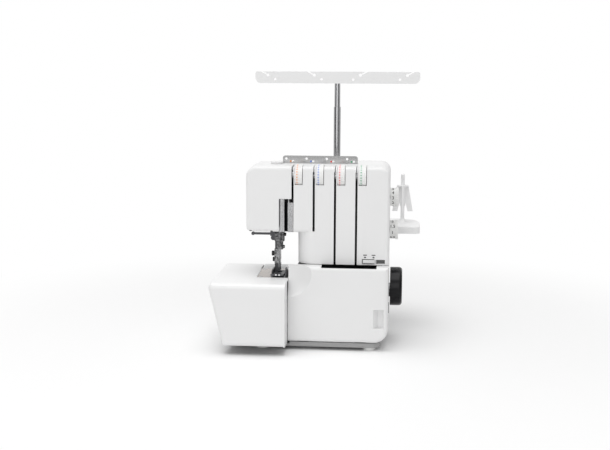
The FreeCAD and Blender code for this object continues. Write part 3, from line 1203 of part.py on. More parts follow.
def needle_plate():
    """Steel plate with the needle slot, the feed slots and two sunk screw holes."""
    plate = block("xy", PLATE_X, PLATE_Y, 1.5, (PLATE_BOTTOM, BED_TOP))
    through = (PLATE_BOTTOM - 1, BED_TOP + 1)
    cuts = [box(NEEDLE_SLOT_X, NEEDLE_SLOT_Y, through)]
    feed_y = (DIFFERENTIAL_FEED_Y[0] - FEED_TRAVEL - CLEAR_GAP, MAIN_FEED_Y[1] + CLEAR_GAP)
    for x in FEED_BARS_X:
        cuts.append(box(grown(x, CLEAR_GAP), feed_y, through))
    for y in PLATE_SCREWS_Y:
        at = (PLATE_SCREW_X, y)
        cuts.append(rod("z", at, SCREW_RADIUS + CLEAR_GAP, through))
        cuts.append(rod("z", at, SCREW_HEAD_RADIUS + CLEAR_GAP, (BED_TOP - SCREW_HEAD, BED_TOP + 1)))
    return without(plate, *cuts)


def feed_dog(y):
    """Two toothed bars on a carrier that slides on the frame's ledge."""
    carrier = box(FEED_CARRIER_X, y, FEED_CARRIER_Z)
    bars = [box(x, y, (FEED_CARRIER_Z[0], FEED_TOP)) for x in FEED_BARS_X]
    teeth = []
    count = int((y[1] - y[0]) / FEED_TOOTH)
    for i in range(count):
        start = y[0] + FEED_TOOTH * i
        corners = [(start, FEED_TOP + 0.01, 0), (start + FEED_TOOTH, FEED_TOP + 0.01, 0)]
        corners.append((start + FEED_TOOTH, FEED_TOP - FEED_TOOTH_DEPTH, 0))
        teeth.append(profile("yz", corners, FEED_CARRIER_X))
    needle_way = box(grown(NEEDLE_SLOT_X, 0), NEEDLE_SLOT_Y, (0, BIG))
    return without(joined(carrier, *bars), needle_way, *teeth)


def lower_knife():
    """Fixed knife on its post."""
    return box(LOWER_KNIFE_X, KNIFE_Y, LOWER_KNIFE_Z)


def upper_knife():
    """Moving knife on its slide block."""
    edge_low = UPPER_KNIFE_Z[0]
    corners = [(KNIFE_Y[0], edge_low + 8, 0), (KNIFE_Y[1], edge_low, 0)]
    corners += [(KNIFE_Y[1], UPPER_KNIFE_Z[1], 2), (KNIFE_Y[0], UPPER_KNIFE_Z[1], 2)]
    blade = profile("yz", corners, UPPER_KNIFE_X)
    return joined(blade, box(KNIFE_HOLDER_X, KNIFE_Y, KNIFE_HOLDER_Z))


def looper(pivot, y, corners):
    """Looper blade on its rock shaft."""
    hub = rod("y", pivot, LOOPER_HUB_RADIUS, y)
    shaft = rod("y", pivot, LOOPER_SHAFT_RADIUS, (y[0], LOOPER_SHAFT_REAR))
    collar = rod("y", pivot, LOOPER_HUB_RADIUS, (y[1], LOOPER_PLATE_Y[0] - CLEAR_GAP))
    moved = [(pivot[0] + u, pivot[1] + v, r) for u, v, r in corners]
    return joined(profile("xz", moved, y), hub, shaft, collar)


def upper_looper():
    """Looper that carries its thread up over the fabric's edge."""
    w, r, h = LOOPER_ROOT, UPPER_LOOPER_REACH, UPPER_LOOPER_RISE
    corners = [(w, 0.8 * w, 0), (-0.43 * r, 0.84 * h, 6), (-0.97 * r, h, 0), (-r, 0.96 * h, 0)]
    corners += [(-0.54 * r, 0.71 * h, 6), (-w, -0.8 * w, 0)]
    return looper(UPPER_LOOPER_PIVOT, UPPER_LOOPER_Y, corners)


def lower_looper():
    """Looper that carries its thread under the fabric."""
    w, r, h = LOOPER_ROOT, LOWER_LOOPER_REACH, LOWER_LOOPER_RISE
    corners = [(w, 0.4 * w, 0), (0.8 * w, 0.81 * h, 0), (-0.09 * r, h, 4), (-r, 0.952 * h, 0)]
    corners += [(-r, 0.919 * h, 0), (-0.18 * r, 0.833 * h, 3), (-w, 0.4 * w, 0)]
    return looper(LOWER_LOOPER_PIVOT, LOWER_LOOPER_Y, corners)


# Tension units

def tension_dial(i):
    """Thumb wheel of one thread tension, on the common axle: a smooth scale and a ridged grip."""
    at = (DIAL_Y, DIAL_Z)
    span = dial_span(i)
    grip = (span[0] + DIAL_SCALE_WIDTH, span[1])
    wheel = ridged(rod("x", at, DIAL_RADIUS, span), "x", at, DIAL_RADIUS, DIAL_RIDGE_DEPTH, DIAL_RIDGES, grip)
    return without(wheel, rod("x", at, AXLE_RADIUS + RUNNING_GAP, grown(span, 1)))


def tension_discs():
    """Axle through the four dials, and a pair of discs in each slot."""
    at = (DIAL_Y, DIAL_Z)
    solids = [rod("x", at, AXLE_RADIUS, AXLE_X)]
    for x in SLOT_X:
        for side in (-1, 1):
            inner = x + side * DISC_THICKNESS * 0.4
            span = sorted((inner, inner + side * DISC_THICKNESS))
            solids.append(tube("x", at, DISC_RADIUS, AXLE_RADIUS + RUNNING_GAP, span))
    return Part.makeCompound(solids)


# Controls

def end_dial(z):
    """Numbered dial on the right end: a plain ring for the numbers and a ridged rim."""
    at = (END_DIAL_Y, z)
    rim = (END_DIAL_X[1] - END_DIAL_FLANGE, END_DIAL_X[1])
    grip = softened(rod("x", at, END_DIAL_RADIUS, rim), 1, "x", rim[1])
    grip = ridged(grip, "x", at, END_DIAL_RADIUS, 0.6, END_DIAL_RIDGES, rim)
    ring = rod("x", at, END_DIAL_RADIUS - 1, END_DIAL_X)
    shaft = rod("x", at, END_DIAL_SHAFT, (HOUSING_RIGHT - WALL - END_DIAL_BOSS, END_DIAL_X[0] + 1))
    return joined(grip, ring, shaft)


def selector_slider():
    """Two-place slider in the window, held by a flange behind the wall."""
    start = SELECTOR_X[0] + SELECTOR_GAP
    x = (start, start + SELECTOR_LENGTH)
    inner = HOUSING_FRONT + WALL + CLEAR_GAP
    z = grown(SELECTOR_Z, -SELECTOR_GAP)
    button = box(x, (HOUSING_FRONT - SELECTOR_PROUD, inner + SELECTOR_FLANGE), z)
    button = softened(button, 0.6, "y", HOUSING_FRONT - SELECTOR_PROUD)
    flange = box(grown(x, SELECTOR_LIP), (inner, inner + SELECTOR_FLANGE), (COLUMN_BOTTOM, z[1] + SELECTOR_LIP))
    return joined(button, flange)


def power_socket_block():
    """Block behind the right end cover that carries the switch's pin and the power socket."""
    body = box(SOCKET_BLOCK_X, SOCKET_BLOCK_Y, SOCKET_BLOCK_Z)
    spout = box((SOCKET_BLOCK_X[1], HOUSING_RIGHT + SOCKET_PROUD), SOCKET_Y, SOCKET_Z)
    recess = box((SOCKET_FLOOR, HOUSING_RIGHT + 2), grown(SOCKET_Y, -SOCKET_RIM), grown(SOCKET_Z, -SOCKET_RIM))
    pocket = box((SWITCH_POCKET, SOCKET_BLOCK_X[1] + 1), SWITCH_Y, SWITCH_Z)
    pin = rod("y", (SWITCH_PIVOT_X, middle(SWITCH_Z)), SWITCH_PIN_RADIUS, SOCKET_BLOCK_Y)
    return joined(without(joined(body, spout), recess, pocket), pin)


def power_switch():
    """Rocker of the power switch."""
    y = grown(SWITCH_Y, -SWITCH_GAP / 2)
    z = grown(SWITCH_Z, -SWITCH_GAP)
    mid = middle(SWITCH_Z)
    proud = HOUSING_RIGHT + SWITCH_PROUD
    back = SWITCH_PIVOT_X - 2 * SWITCH_PIN_RADIUS
    corners = [(back, mid - 3, 0), (back, mid + 3, 0), (HOUSING_RIGHT - WALL, z[1], 0), (proud, z[1], 1)]
    corners += [(proud - 1, mid, 0), (proud, z[0], 1), (HOUSING_RIGHT - WALL, z[0], 0)]
    rocker = profile("xz", corners, y)
    return without(rocker, rod("y", (SWITCH_PIVOT_X, mid), SWITCH_PIN_RADIUS + RUNNING_GAP, grown(y, 1)))


def sewing_lamp():
    """Lamp strip on the head's lower rim."""
    base = HEAD_BOTTOM + WALL
    lamp = block("xy", LAMP_X, LAMP_Y, 2, (base, base + LAMP_HEIGHT))
    return softened(lamp, 1, "z", base + LAMP_HEIGHT)


# Thread stand

def spool_stand():
    """Tray behind the machine that carries the spool pins and the pole, on two arms."""
    left = STAND_MIDDLE - STAND_HALF
    right = STAND_MIDDLE + STAND_HALF

    def tray(inset, z):
        front = STAND_FRONT_RADIUS - inset
        rear = STAND_REAR_RADIUS - inset
        y = grown(STAND_Y, -inset)
        corners = [(left + inset, y[0], front), (right - inset, y[0], front)]
        corners += [(right - inset, y[1], rear), (left + inset, y[1], rear)]
        return profile("xy", corners, z)

    body = softened(tray(0, STAND_Z), 1.5, "z", STAND_Z[1])
    hollow = tray(STAND_WALL, (STAND_Z[0] - 1, STAND_Z[1] - STAND_WALL))
    parts = [without(body, hollow)]
    for x in PIN_PLACES:
        parts.append(rod("z", (x, PIN_Y), PIN_FOOT_RADIUS, STAND_Z))
    parts.append(rod("z", (STAND_MIDDLE, POLE_Y), 2 * POLE_BASE_RADIUS, STAND_Z))
    for x in STAND_ARMS:
        span = (STAND_MIDDLE + x - STAND_ARM_HALF, STAND_MIDDLE + x + STAND_ARM_HALF)
        parts.append(box(span, (HOUSING_REAR, STAND_Y[0] + STAND_FRONT_RADIUS), STAND_Z))
    floor = STAND_Z[0] + STAND_WALL
    socket = rod("z", (STAND_MIDDLE, POLE_Y), POLE_BASE_RADIUS, (floor, STAND_Z[1] + 1))
    pins = [rod("z", (x, PIN_Y), PIN_RADIUS, (floor, STAND_Z[1] + 1)) for x in PIN_PLACES]
    return without(joined(*parts), socket, *pins)


def spool_pins():
    """Four spool pins, each with a flared foot and a collar for its cone holder."""
    made = []
    for x in PIN_PLACES:
        at = (x, PIN_Y)
        pin = softened(rod("z", at, PIN_RADIUS, (STAND_Z[0] + STAND_WALL, PIN_TOP)), PIN_RADIUS * 0.6, "z", PIN_TOP)
        foot = cone("z", at, (PIN_FOOT_RADIUS, PIN_RADIUS), (STAND_Z[1], STAND_Z[1] + PIN_FOOT_HEIGHT))
        made.append(joined(pin, foot, rod("z", at, PIN_COLLAR_RADIUS, PIN_COLLAR_Z)))
    return Part.makeCompound(made)


def spool_cones():
    """Four finned cone holders that stand on the pins' collars."""
    made = []
    seat = PIN_COLLAR_Z[1]
    for x in PIN_PLACES:
        at = (x, PIN_Y)
        hub = rod("z", at, CONE_HUB_RADIUS, (seat, CONE_TOP))
        cap = rod("z", at, CONE_TOP_RADIUS, (CONE_TOP - CONE_CAP, CONE_TOP))
        corners = [(x, CONE_TOP, 0), (x + CONE_TOP_RADIUS, CONE_TOP, 0), (x + CONE_BOTTOM_RADIUS, CONE_BOTTOM, 0)]
        corners += [(x + CONE_BOTTOM_RADIUS / 2, CONE_BOTTOM, 0), (x + CONE_HUB_RADIUS, seat, 0), (x, seat, 0)]
        fin = profile("xz", corners, (PIN_Y - CONE_FIN / 2, PIN_Y + CONE_FIN / 2))
        fins = [turned(fin, Vector(x, PIN_Y, 0), Vector(0, 0, 1), 90 * k) for k in range(4)]
        bore = rod("z", at, PIN_RADIUS + RUNNING_GAP, (CONE_BOTTOM - 1, CONE_TOP + 1))
        made.append(without(joined(hub, cap, *fins), bore))
    return Part.makeCompound(made)


def pole_base_tube():
    """Outer tube of the telescopic pole, fixed in the stand."""
    at = (STAND_MIDDLE, POLE_Y)
    return tube("z", at, POLE_BASE_RADIUS, POLE_MIDDLE_RADIUS + RUNNING_GAP, (STAND_Z[0] + STAND_WALL, POLE_BASE_TOP))


def pole_middle_tube():
    """Middle tube of the pole."""
    at = (STAND_MIDDLE, POLE_Y)
    return tube("z", at, POLE_MIDDLE_RADIUS, POLE_TOP_RADIUS + RUNNING_GAP, (POLE_BASE_TOP - POLE_LAP, POLE_MIDDLE_TOP))


def pole_top_tube():
    """Top tube of the pole, which carries the guide bar."""
    at = (STAND_MIDDLE, POLE_Y)
    return tube("z", at, POLE_TOP_RADIUS, POLE_TOP_RADIUS - POLE_WALL, (POLE_MIDDLE_TOP - POLE_LAP, POLE_TOP_TOP))


def thread_guide_bar():
    """Plate at the top of the pole with four open thread slots and four holes, and the hub behind it."""
    left = STAND_MIDDLE - BAR_HALF
    right = STAND_MIDDLE + BAR_HALF
    corners = [(left, BAR_Z[0], BAR_LOW_RADIUS), (right, BAR_Z[0], BAR_LOW_RADIUS)]
    corners += [(right, BAR_Z[1], BAR_TOP_RADIUS), (left, BAR_Z[1], BAR_TOP_RADIUS)]
    plate = profile("xz", corners, BAR_Y)
    through = grown(BAR_Y, 1)
    cuts = []
    for side in (-1, 1):
        for reach in BAR_SLOT_HOLES:
            x = STAND_MIDDLE + side * reach
            mouth = x + side * BAR_SLOT_RUN
            cuts.append(rod("y", (x, BAR_SLOT_Z), BAR_SLOT_HOLE_RADIUS, through))
            top = BAR_Z[1] + 1
            half = BAR_SLOT_WIDTH / 2
            slot = [(x, BAR_SLOT_Z - half, 0), (mouth + side * BAR_SLOT_WIDTH, top, 0)]
            slot += [(mouth - side * BAR_SLOT_WIDTH, top, 0), (x, BAR_SLOT_Z + half, 0)]
            cuts.append(profile("xz", slot, through))
        for reach in BAR_HOLES:
            cuts.append(rod("y", (STAND_MIDDLE + side * reach, BAR_HOLE_Z), BAR_HOLE_RADIUS, through))
    hub = rod("z", (STAND_MIDDLE, POLE_Y), BAR_HUB_RADIUS, (BAR_Z[0] + CLEAR_GAP, BAR_Z[1] - 1))
    bore = rod("z", (STAND_MIDDLE, POLE_Y), POLE_TOP_RADIUS, (BAR_Z[0] - 1, POLE_TOP_TOP))
    return without(joined(without(plate, *cuts), hub), bore)


def upper_thread_guide():
    """Bent steel plate on the lid with two rows of thread holes."""
    top = HOUSING_TOP + GUIDE_HEIGHT
    corners = [(GUIDE_X[0], HOUSING_TOP, 0), (GUIDE_X[1], HOUSING_TOP, 0)]
    corners += [(GUIDE_X[1], top, GUIDE_END_RADIUS), (GUIDE_X[0], top, GUIDE_END_RADIUS)]
    wall = profile("xz", corners, (GUIDE_Y, GUIDE_Y + GUIDE_SHEET))
    foot = box(GUIDE_X, (GUIDE_Y, GUIDE_Y + GUIDE_FOOT), (HOUSING_TOP, HOUSING_TOP + GUIDE_SHEET))
    cuts = []
    for first, up in zip(GUIDE_FIRST, GUIDE_HOLES_UP):
        for i in range(4):
            at = (first + GUIDE_PITCH * i, HOUSING_TOP + up)
            cuts.append(rod("y", at, GUIDE_HOLE_RADIUS, (GUIDE_Y - 1, GUIDE_Y + GUIDE_SHEET + 1)))
    for x in GUIDE_SCREWS_X:
        cuts.append(screw_hole("z", (x, GUIDE_Y + GUIDE_FOOT / 2), HOUSING_TOP + GUIDE_SHEET, 1))
    return without(joined(wall, foot), *cuts)


def casing_screws():
    """Screws of the rear cover, the thread guide and the needle plate."""
    made = [screw("y", at, HOUSING_REAR, 1) for at in REAR_SCREWS]
    made += [screw("z", (x, GUIDE_Y + GUIDE_FOOT / 2), HOUSING_TOP + GUIDE_SHEET, 1) for x in GUIDE_SCREWS_X]
    made += [screw("z", (PLATE_SCREW_X, y), BED_TOP - SCREW_HEAD, 1) for y in PLATE_SCREWS_Y]
    return Part.makeCompound(made)


NODES = {
    "base_pan": base_pan(),
    "rubber_feet": rubber_feet(),
    "machine_frame": machine_frame(),
    "front_cover": front_cover(),
    "face_cover": face_cover(),
    "top_cover": top_cover(),
    "rear_cover": rear_cover(),
    "end_cover": end_cover(),
    "take_up_cover": take_up_cover(),
    "looper_cover": looper_cover(),
    "looper_cover_hinge_rod": looper_cover_hinge_rod(),
    "side_cover": side_cover(),
    "cloth_plate": cloth_plate(),
    "rear_bed_cover": rear_bed_cover(),
    "bed_cover": bed_cover(),
    "needle_plate": needle_plate(),
    "main_feed_dog": feed_dog(MAIN_FEED_Y),
    "differential_feed_dog": feed_dog(DIFFERENTIAL_FEED_Y),
    "lower_knife": lower_knife(),
    "upper_knife": upper_knife(),
    "upper_looper": upper_looper(),
    "lower_looper": lower_looper(),
    "shaft_bushes": shaft_bushes(),
    "main_shaft": main_shaft(),
    "handwheel": handwheel(),
    "shaft_pulley": shaft_pulley(),
    "motor": motor(),
    "motor_pulley": motor_pulley(),
    "drive_belt": drive_belt(),
    "needle_bar": needle_bar(),
    "needle_clamp": needle_clamp(),
    "needles": needles(),
    "needle_rocker": needle_rocker(),
    "connecting_rod": connecting_rod(),
    "presser_bar": presser_bar(),
    "presser_spring": presser_spring(),
    "pressure_knob": pressure_knob(),
    "presser_lifter": presser_lifter(),
    "presser_foot_holder": presser_foot_holder(),
    "presser_foot": presser_foot(),
    "left_needle_tension_dial": tension_dial(0),
    "right_needle_tension_dial": tension_dial(1),
    "upper_looper_tension_dial": tension_dial(2),
    "lower_looper_tension_dial": tension_dial(3),
    "tension_discs": tension_discs(),
    "stitch_length_dial": end_dial(END_DIALS_Z[0]),
    "differential_feed_dial": end_dial(END_DIALS_Z[1]),
    "selector_slider": selector_slider(),
    "power_socket_block": power_socket_block(),
    "power_switch": power_switch(),
    "sewing_lamp": sewing_lamp(),
    "spool_stand": spool_stand(),
    "spool_pins": spool_pins(),
    "spool_cones": spool_cones(),
    "pole_base_tube": pole_base_tube(),
    "pole_middle_tube": pole_middle_tube(),
    "pole_top_tube": pole_top_tube(),
    "thread_guide_bar": thread_guide_bar(),
    "upper_thread_guide": upper_thread_guide(),
    "casing_screws": casing_screws(),
}

os.makedirs("parts", exist_ok=True)
for name, shape in NODES.items():
    solids = shape.Solids
    Part.makeCompound(solids).exportStep("parts/" + name + ".step")
    print(name, len(solids), shape.isValid(), round(shape.Volume, 1))
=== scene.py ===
import math
import bmesh
import bpy
import numpy as np
from mathutils import Matrix, Vector


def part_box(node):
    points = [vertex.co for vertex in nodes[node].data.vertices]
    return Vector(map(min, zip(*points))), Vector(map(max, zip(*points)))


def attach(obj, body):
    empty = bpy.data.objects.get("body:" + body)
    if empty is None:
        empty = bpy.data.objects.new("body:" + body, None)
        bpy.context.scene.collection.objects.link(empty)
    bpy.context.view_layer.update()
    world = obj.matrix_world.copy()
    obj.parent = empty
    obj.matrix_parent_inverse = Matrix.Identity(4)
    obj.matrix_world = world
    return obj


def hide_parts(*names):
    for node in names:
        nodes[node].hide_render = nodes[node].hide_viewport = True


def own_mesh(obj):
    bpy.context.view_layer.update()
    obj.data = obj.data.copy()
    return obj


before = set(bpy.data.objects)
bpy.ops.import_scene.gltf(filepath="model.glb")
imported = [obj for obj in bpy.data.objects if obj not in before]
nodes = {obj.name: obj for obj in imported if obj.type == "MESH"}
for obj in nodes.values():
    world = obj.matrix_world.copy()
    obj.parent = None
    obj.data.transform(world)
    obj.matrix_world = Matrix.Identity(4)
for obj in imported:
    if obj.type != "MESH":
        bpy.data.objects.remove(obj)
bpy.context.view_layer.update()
scene = bpy.context.scene
MM = 0.001

# Places shared with the part, in millimetres
# Thread slots: their walls carry painted shade in the casing material
SLOT_FIRST = -38.0
SLOT_PITCH = 33.0
SLOT_HALF = 1.75
SLOT_TOP = 279.2
CASING_FRONT = -83.0
# Take-up cover groove, coloured near-black as painted shade
TAKE_UP_GROOVE = (-49.8, -45.3)
TAKE_UP_GROOVE_FROM = CASING_FRONT + 1.5
CLAMP_SCREWS_FROM = -53.45
HOLDER_SCREWS_FROM = -71.05
SPRING_AT = (-67.0, -38.0)
SPRING_SPAN = (209.0, 239.0)
SPRING_RADIUS = 5.2
SPRING_WIRE = 0.7
SPRING_TURNS = 7
SCALE_SPAN = (0.5, 5.8)
SCALE_SUNK = 1.0
PRINT_RISE = 0.12
GUIDE_MARK_FIRST = -45.8
GUIDE_MARK_PITCH = 32.2
GUIDE_MARK_UP = 3.4
END_DIAL_RADIUS = 14.5
FIGURES_X = 117.2
FIGURE_SIZE = 7.0
TRACK_X = (86.0, 110.0)
TRACK_Y = (-77.6, -76.4)
TRACK_Z = (135.0, 146.0)
TRACK_RIBS = 16
TRACK_RIB_DEPTH = 0.7
SELECTOR_MARKS_X = (75.4, 88.6)
SELECTOR_MARK_Z = 146.6
SELECTOR_DASH_Z = 150.2
# Painted shadow lines round the selector window
SELECTOR_GAP_SHADE_X = (71.05, 80.3)
SELECTOR_GAP_SHADE_Z = (136.45, 140.0, 143.55)
SELECTOR_GAP_SHADE_HALF = 0.35
FOOT_MARKS_X = (-64.0, -58.8)
FOOT_MARK_UP = 3.6
DIAL_NAMES = ["left_needle", "right_needle", "upper_looper", "lower_looper"]
THREAD_TINTS = [(0.80, 0.30, 0.10), (0.12, 0.22, 0.62), (0.72, 0.07, 0.07), (0.10, 0.36, 0.20)]


# Finishes

def fresh(name):
    """New material with its shader, a node maker and a link maker."""
    material = bpy.data.materials.new(name)
    material.use_nodes = True
    tree = material.node_tree
    shader = tree.nodes["Principled BSDF"]

    def make(kind, **values):
        node = tree.nodes.new(kind)
        for key, value in values.items():
            if key in node.inputs:
                node.inputs[key].default_value = value
            else:
                setattr(node, key, value)
        return node

    return material, shader, make, tree.links.new


def number(make, link, operation, first, second=None):
    """Math node on one or two values or sockets."""
    node = make("ShaderNodeMath", operation=operation)
    for index, value in enumerate((first, second)):
        if value is None:
            continue
        if isinstance(value, (int, float)):
            node.inputs[index].default_value = value
        else:
            link(value, node.inputs[index])
    return node.outputs[0]


def blended(make, link, factor, first, second):
    """Colour mixed from first to second by a factor socket; either may be a colour or a socket."""
    node = make("ShaderNodeMix", data_type="RGBA")
    link(factor, node.inputs["Factor"])
    for socket, value in (("A", first), ("B", second)):
        target = [s for s in node.inputs if s.name == socket and s.type == "RGBA"][0]
        if isinstance(value, tuple):
            target.default_value = (*value, 1.0)
        else:
            link(value, target)
    return [s for s in node.outputs if s.type == "RGBA"][0]


def grain(make, link, coordinates, scale, detail=3.0):
    """Noise value on Object coordinates, with features of about 1/scale metres."""
    noise = make("ShaderNodeTexNoise", Scale=scale, Detail=detail)
    link(coordinates, noise.inputs["Vector"])
    return noise.outputs["Fac"]


def object_axes(make, link):
    """Object coordinates, whole and split into X, Y and Z."""
    spot = make("ShaderNodeTexCoord").outputs["Object"]
    split = make("ShaderNodeSeparateXYZ")
    link(spot, split.inputs[0])
    return spot, split.outputs


def uneven_gloss(make, link, shader, spot, low, high, scale):
    """Roughness that drifts between two values in soft patches."""
    spread = make("ShaderNodeMapRange")
    spread.inputs["To Min"].default_value = low
    spread.inputs["To Max"].default_value = high
    link(grain(make, link, spot, scale), spread.inputs["Value"])
    link(spread.outputs["Result"], shader.inputs["Roughness"])


def bumped(make, link, shader, height, strength, distance):
    """Small relief on a shader from a height socket."""
    bump = make("ShaderNodeBump", Strength=strength, Distance=distance)
    link(height, bump.inputs["Height"])
    link(bump.outputs["Normal"], shader.inputs["Normal"])


def shaded(make, link, coordinates, colour, depth, scale):
    """Colour that drifts a little darker in broad soft clouds."""
    darker = tuple(c * (1 - depth) for c in colour)
    return blended(make, link, grain(make, link, coordinates, scale, 2.0), darker, colour)


def moulding(name, colour, roughness, texture=0.05, scale=2200.0, shine=0.5):
    """Injection-moulded plastic: a fine sparked grain, faint clouding and a slight change of gloss."""
    material, shader, make, link = fresh(name)
    spot = make("ShaderNodeTexCoord").outputs["Object"]
    link(shaded(make, link, spot, colour, 0.025, 22.0), shader.inputs["Base Color"])
    fine = grain(make, link, spot, scale, 4.0)
    bumped(make, link, shader, fine, texture, 0.0002)
    uneven_gloss(make, link, shader, spot, roughness - 0.05, roughness + 0.06, 60.0)
    shader.inputs["Specular IOR Level"].default_value = shine
    return material


def moulding_with_slot_shade(name, colour, slot_shade_colour, roughness):
    """Casing plastic with painted shade in the thread slots, which repeat along X: the slot walls behind the
    front face are coloured near-black for the shade that falls there.
    """
    material, shader, make, link = fresh(name)
    spot, axes = object_axes(make, link)
    start = (SLOT_FIRST - SLOT_PITCH / 2) * MM
    along = number(make, link, "SUBTRACT", axes["X"], start)
    along = number(make, link, "FLOORED_MODULO", along, SLOT_PITCH * MM)
    along = number(make, link, "SUBTRACT", along, SLOT_PITCH / 2 * MM)
    across = number(make, link, "LESS_THAN", number(make, link, "ABSOLUTE", along), SLOT_HALF * MM)
    deep = number(make, link, "GREATER_THAN", axes["Y"], (CASING_FRONT + 0.9) * MM)
    low = number(make, link, "LESS_THAN", axes["Z"], SLOT_TOP * MM)
    # Slot walls behind the front face and below the slot tops: painted shade
    shade_mask = number(make, link, "MULTIPLY", number(make, link, "MULTIPLY", across, deep), low)
    outside = shaded(make, link, spot, colour, 0.025, 22.0)
    link(blended(make, link, shade_mask, outside, slot_shade_colour), shader.inputs["Base Color"])
    bumped(make, link, shader, grain(make, link, spot, 2200.0, 4.0), 0.05, 0.0002)
    uneven_gloss(make, link, shader, spot, roughness - 0.05, roughness + 0.06, 60.0)
    return material


def metal(name, colour, roughness, stretch=(1.0, 1.0, 1.0), scale=900.0, relief=0.04, smudge=0.05):
    """Worked metal: fine marks drawn out along one direction and a soft uneven polish."""
    material, shader, make, link = fresh(name)
    spot = make("ShaderNodeTexCoord").outputs["Object"]
    turn = make("ShaderNodeMapping")
    turn.inputs["Scale"].default_value = stretch
    link(spot, turn.inputs["Vector"])
    marks = grain(make, link, turn.outputs["Vector"], scale, 5.0)
    tone = tuple(c * 0.86 for c in colour)
    link(blended(make, link, marks, tone, colour), shader.inputs["Base Color"])
    shader.inputs["Metallic"].default_value = 1.0
    uneven_gloss(make, link, shader, spot, roughness - smudge, roughness + smudge, 80.0)
    bumped(make, link, shader, marks, relief, 0.0002)
    return material


def metal_with_black_end(name, colour, roughness, edge, side):
    """Worked metal whose part past edge along X (side +1 or -1) is blackened, as on small screw heads."""
    material, shader, make, link = fresh(name)
    spot, axes = object_axes(make, link)
    test = "GREATER_THAN" if side > 0 else "LESS_THAN"
    black = number(make, link, test, axes["X"], edge * MM)
    marks = grain(make, link, spot, 320.0, 5.0)
    sharper = make("ShaderNodeMapRange")
    sharper.inputs["From Min"].default_value = 0.38
    sharper.inputs["From Max"].default_value = 0.62
    link(marks, sharper.inputs["Value"])
    plain = blended(make, link, sharper.outputs["Result"], tuple(c * 0.22 for c in colour), colour)
    link(blended(make, link, black, plain, (0.012, 0.012, 0.013)), shader.inputs["Base Color"])
    bare = number(make, link, "SUBTRACT", 1.0, black)
    link(bare, shader.inputs["Metallic"])
    rough = number(make, link, "MULTIPLY_ADD", black, 0.15)
    rough.node.inputs[2].default_value = roughness
    link(rough, shader.inputs["Roughness"])
    bumped(make, link, shader, marks, 0.04, 0.0002)
    return material


def metal_with_groove_shade(name, colour, roughness, groove, depth):
    """Bright formed sheet with painted shade: near-black in the groove between two X values and behind a
    depth along Y, where the groove lies in shade.
    """
    material, shader, make, link = fresh(name)
    spot, axes = object_axes(make, link)
    left = number(make, link, "GREATER_THAN", axes["X"], groove[0] * MM)
    right = number(make, link, "LESS_THAN", axes["X"], groove[1] * MM)
    deep = number(make, link, "GREATER_THAN", axes["Y"], depth * MM)
    shade_mask = number(make, link, "MULTIPLY", number(make, link, "MULTIPLY", left, right), deep)
    marks = grain(make, link, spot, 900.0, 5.0)
    bright = blended(make, link, marks, tuple(c * 0.86 for c in colour), colour)
    # The groove's painted shade: near-black in place of the chrome
    link(blended(make, link, shade_mask, bright, (0.010, 0.010, 0.011)), shader.inputs["Base Color"])
    shader.inputs["Metallic"].default_value = 1.0
    uneven_gloss(make, link, shader, spot, roughness - 0.04, roughness + 0.04, 80.0)
    return material


def cast_metal(name, colour):
    """Sand-cast metal: a coarse pebbled skin under grey paint."""
    material, shader, make, link = fresh(name)
    spot = make("ShaderNodeTexCoord").outputs["Object"]
    pebbles = grain(make, link, spot, 700.0, 6.0)
    link(blended(make, link, pebbles, tuple(c * 0.75 for c in colour), colour), shader.inputs["Base Color"])
    shader.inputs["Metallic"].default_value = 0.6
    shader.inputs["Roughness"].default_value = 0.55
    bumped(make, link, shader, pebbles, 0.25, 0.0004)
    return material


def printed_scale(name, tint):
    """Dial strip: a pale tint with short bars of the full colour at even steps along its length."""
    material, shader, make, link = fresh(name)
    place = make("ShaderNodeUVMap").outputs["UV"]
    split = make("ShaderNodeSeparateXYZ")
    link(place, split.inputs[0])
    step = number(make, link, "FRACT", number(make, link, "MULTIPLY", split.outputs["Y"], 26.0))
    bar = number(make, link, "LESS_THAN", step, 0.45)
    left = number(make, link, "LESS_THAN", split.outputs["X"], 0.175)
    right = number(make, link, "GREATER_THAN", split.outputs["X"], 0.09)
    ink = number(make, link, "MULTIPLY", bar, number(make, link, "MULTIPLY", left, right))
    pale = tuple(0.76 + 0.08 * c for c in tint)
    speck = grain(make, link, make("ShaderNodeTexCoord").outputs["Object"], 1500.0)
    paper = blended(make, link, speck, tuple(c * 0.96 for c in pale), pale)
    link(blended(make, link, ink, paper, tint), shader.inputs["Base Color"])
    shader.inputs["Roughness"].default_value = 0.4
    return material


def ink(name, colour):
    """Printed ink with a faintly uneven edge to its tone."""
    material, shader, make, link = fresh(name)
    spot = make("ShaderNodeTexCoord").outputs["Object"]
    link(shaded(make, link, spot, colour, 0.18, 1800.0), shader.inputs["Base Color"])
    shader.inputs["Roughness"].default_value = 0.45
    return material


# Casing white, with painted shade on the walls of its thread slots
casing_white_slot_shaded = moulding_with_slot_shade("casing white with painted slot shade", (0.80, 0.80, 0.80), (0.012, 0.012, 0.012), 0.36)
smooth_white = moulding("smooth white moulding", (0.80, 0.80, 0.80), 0.36)
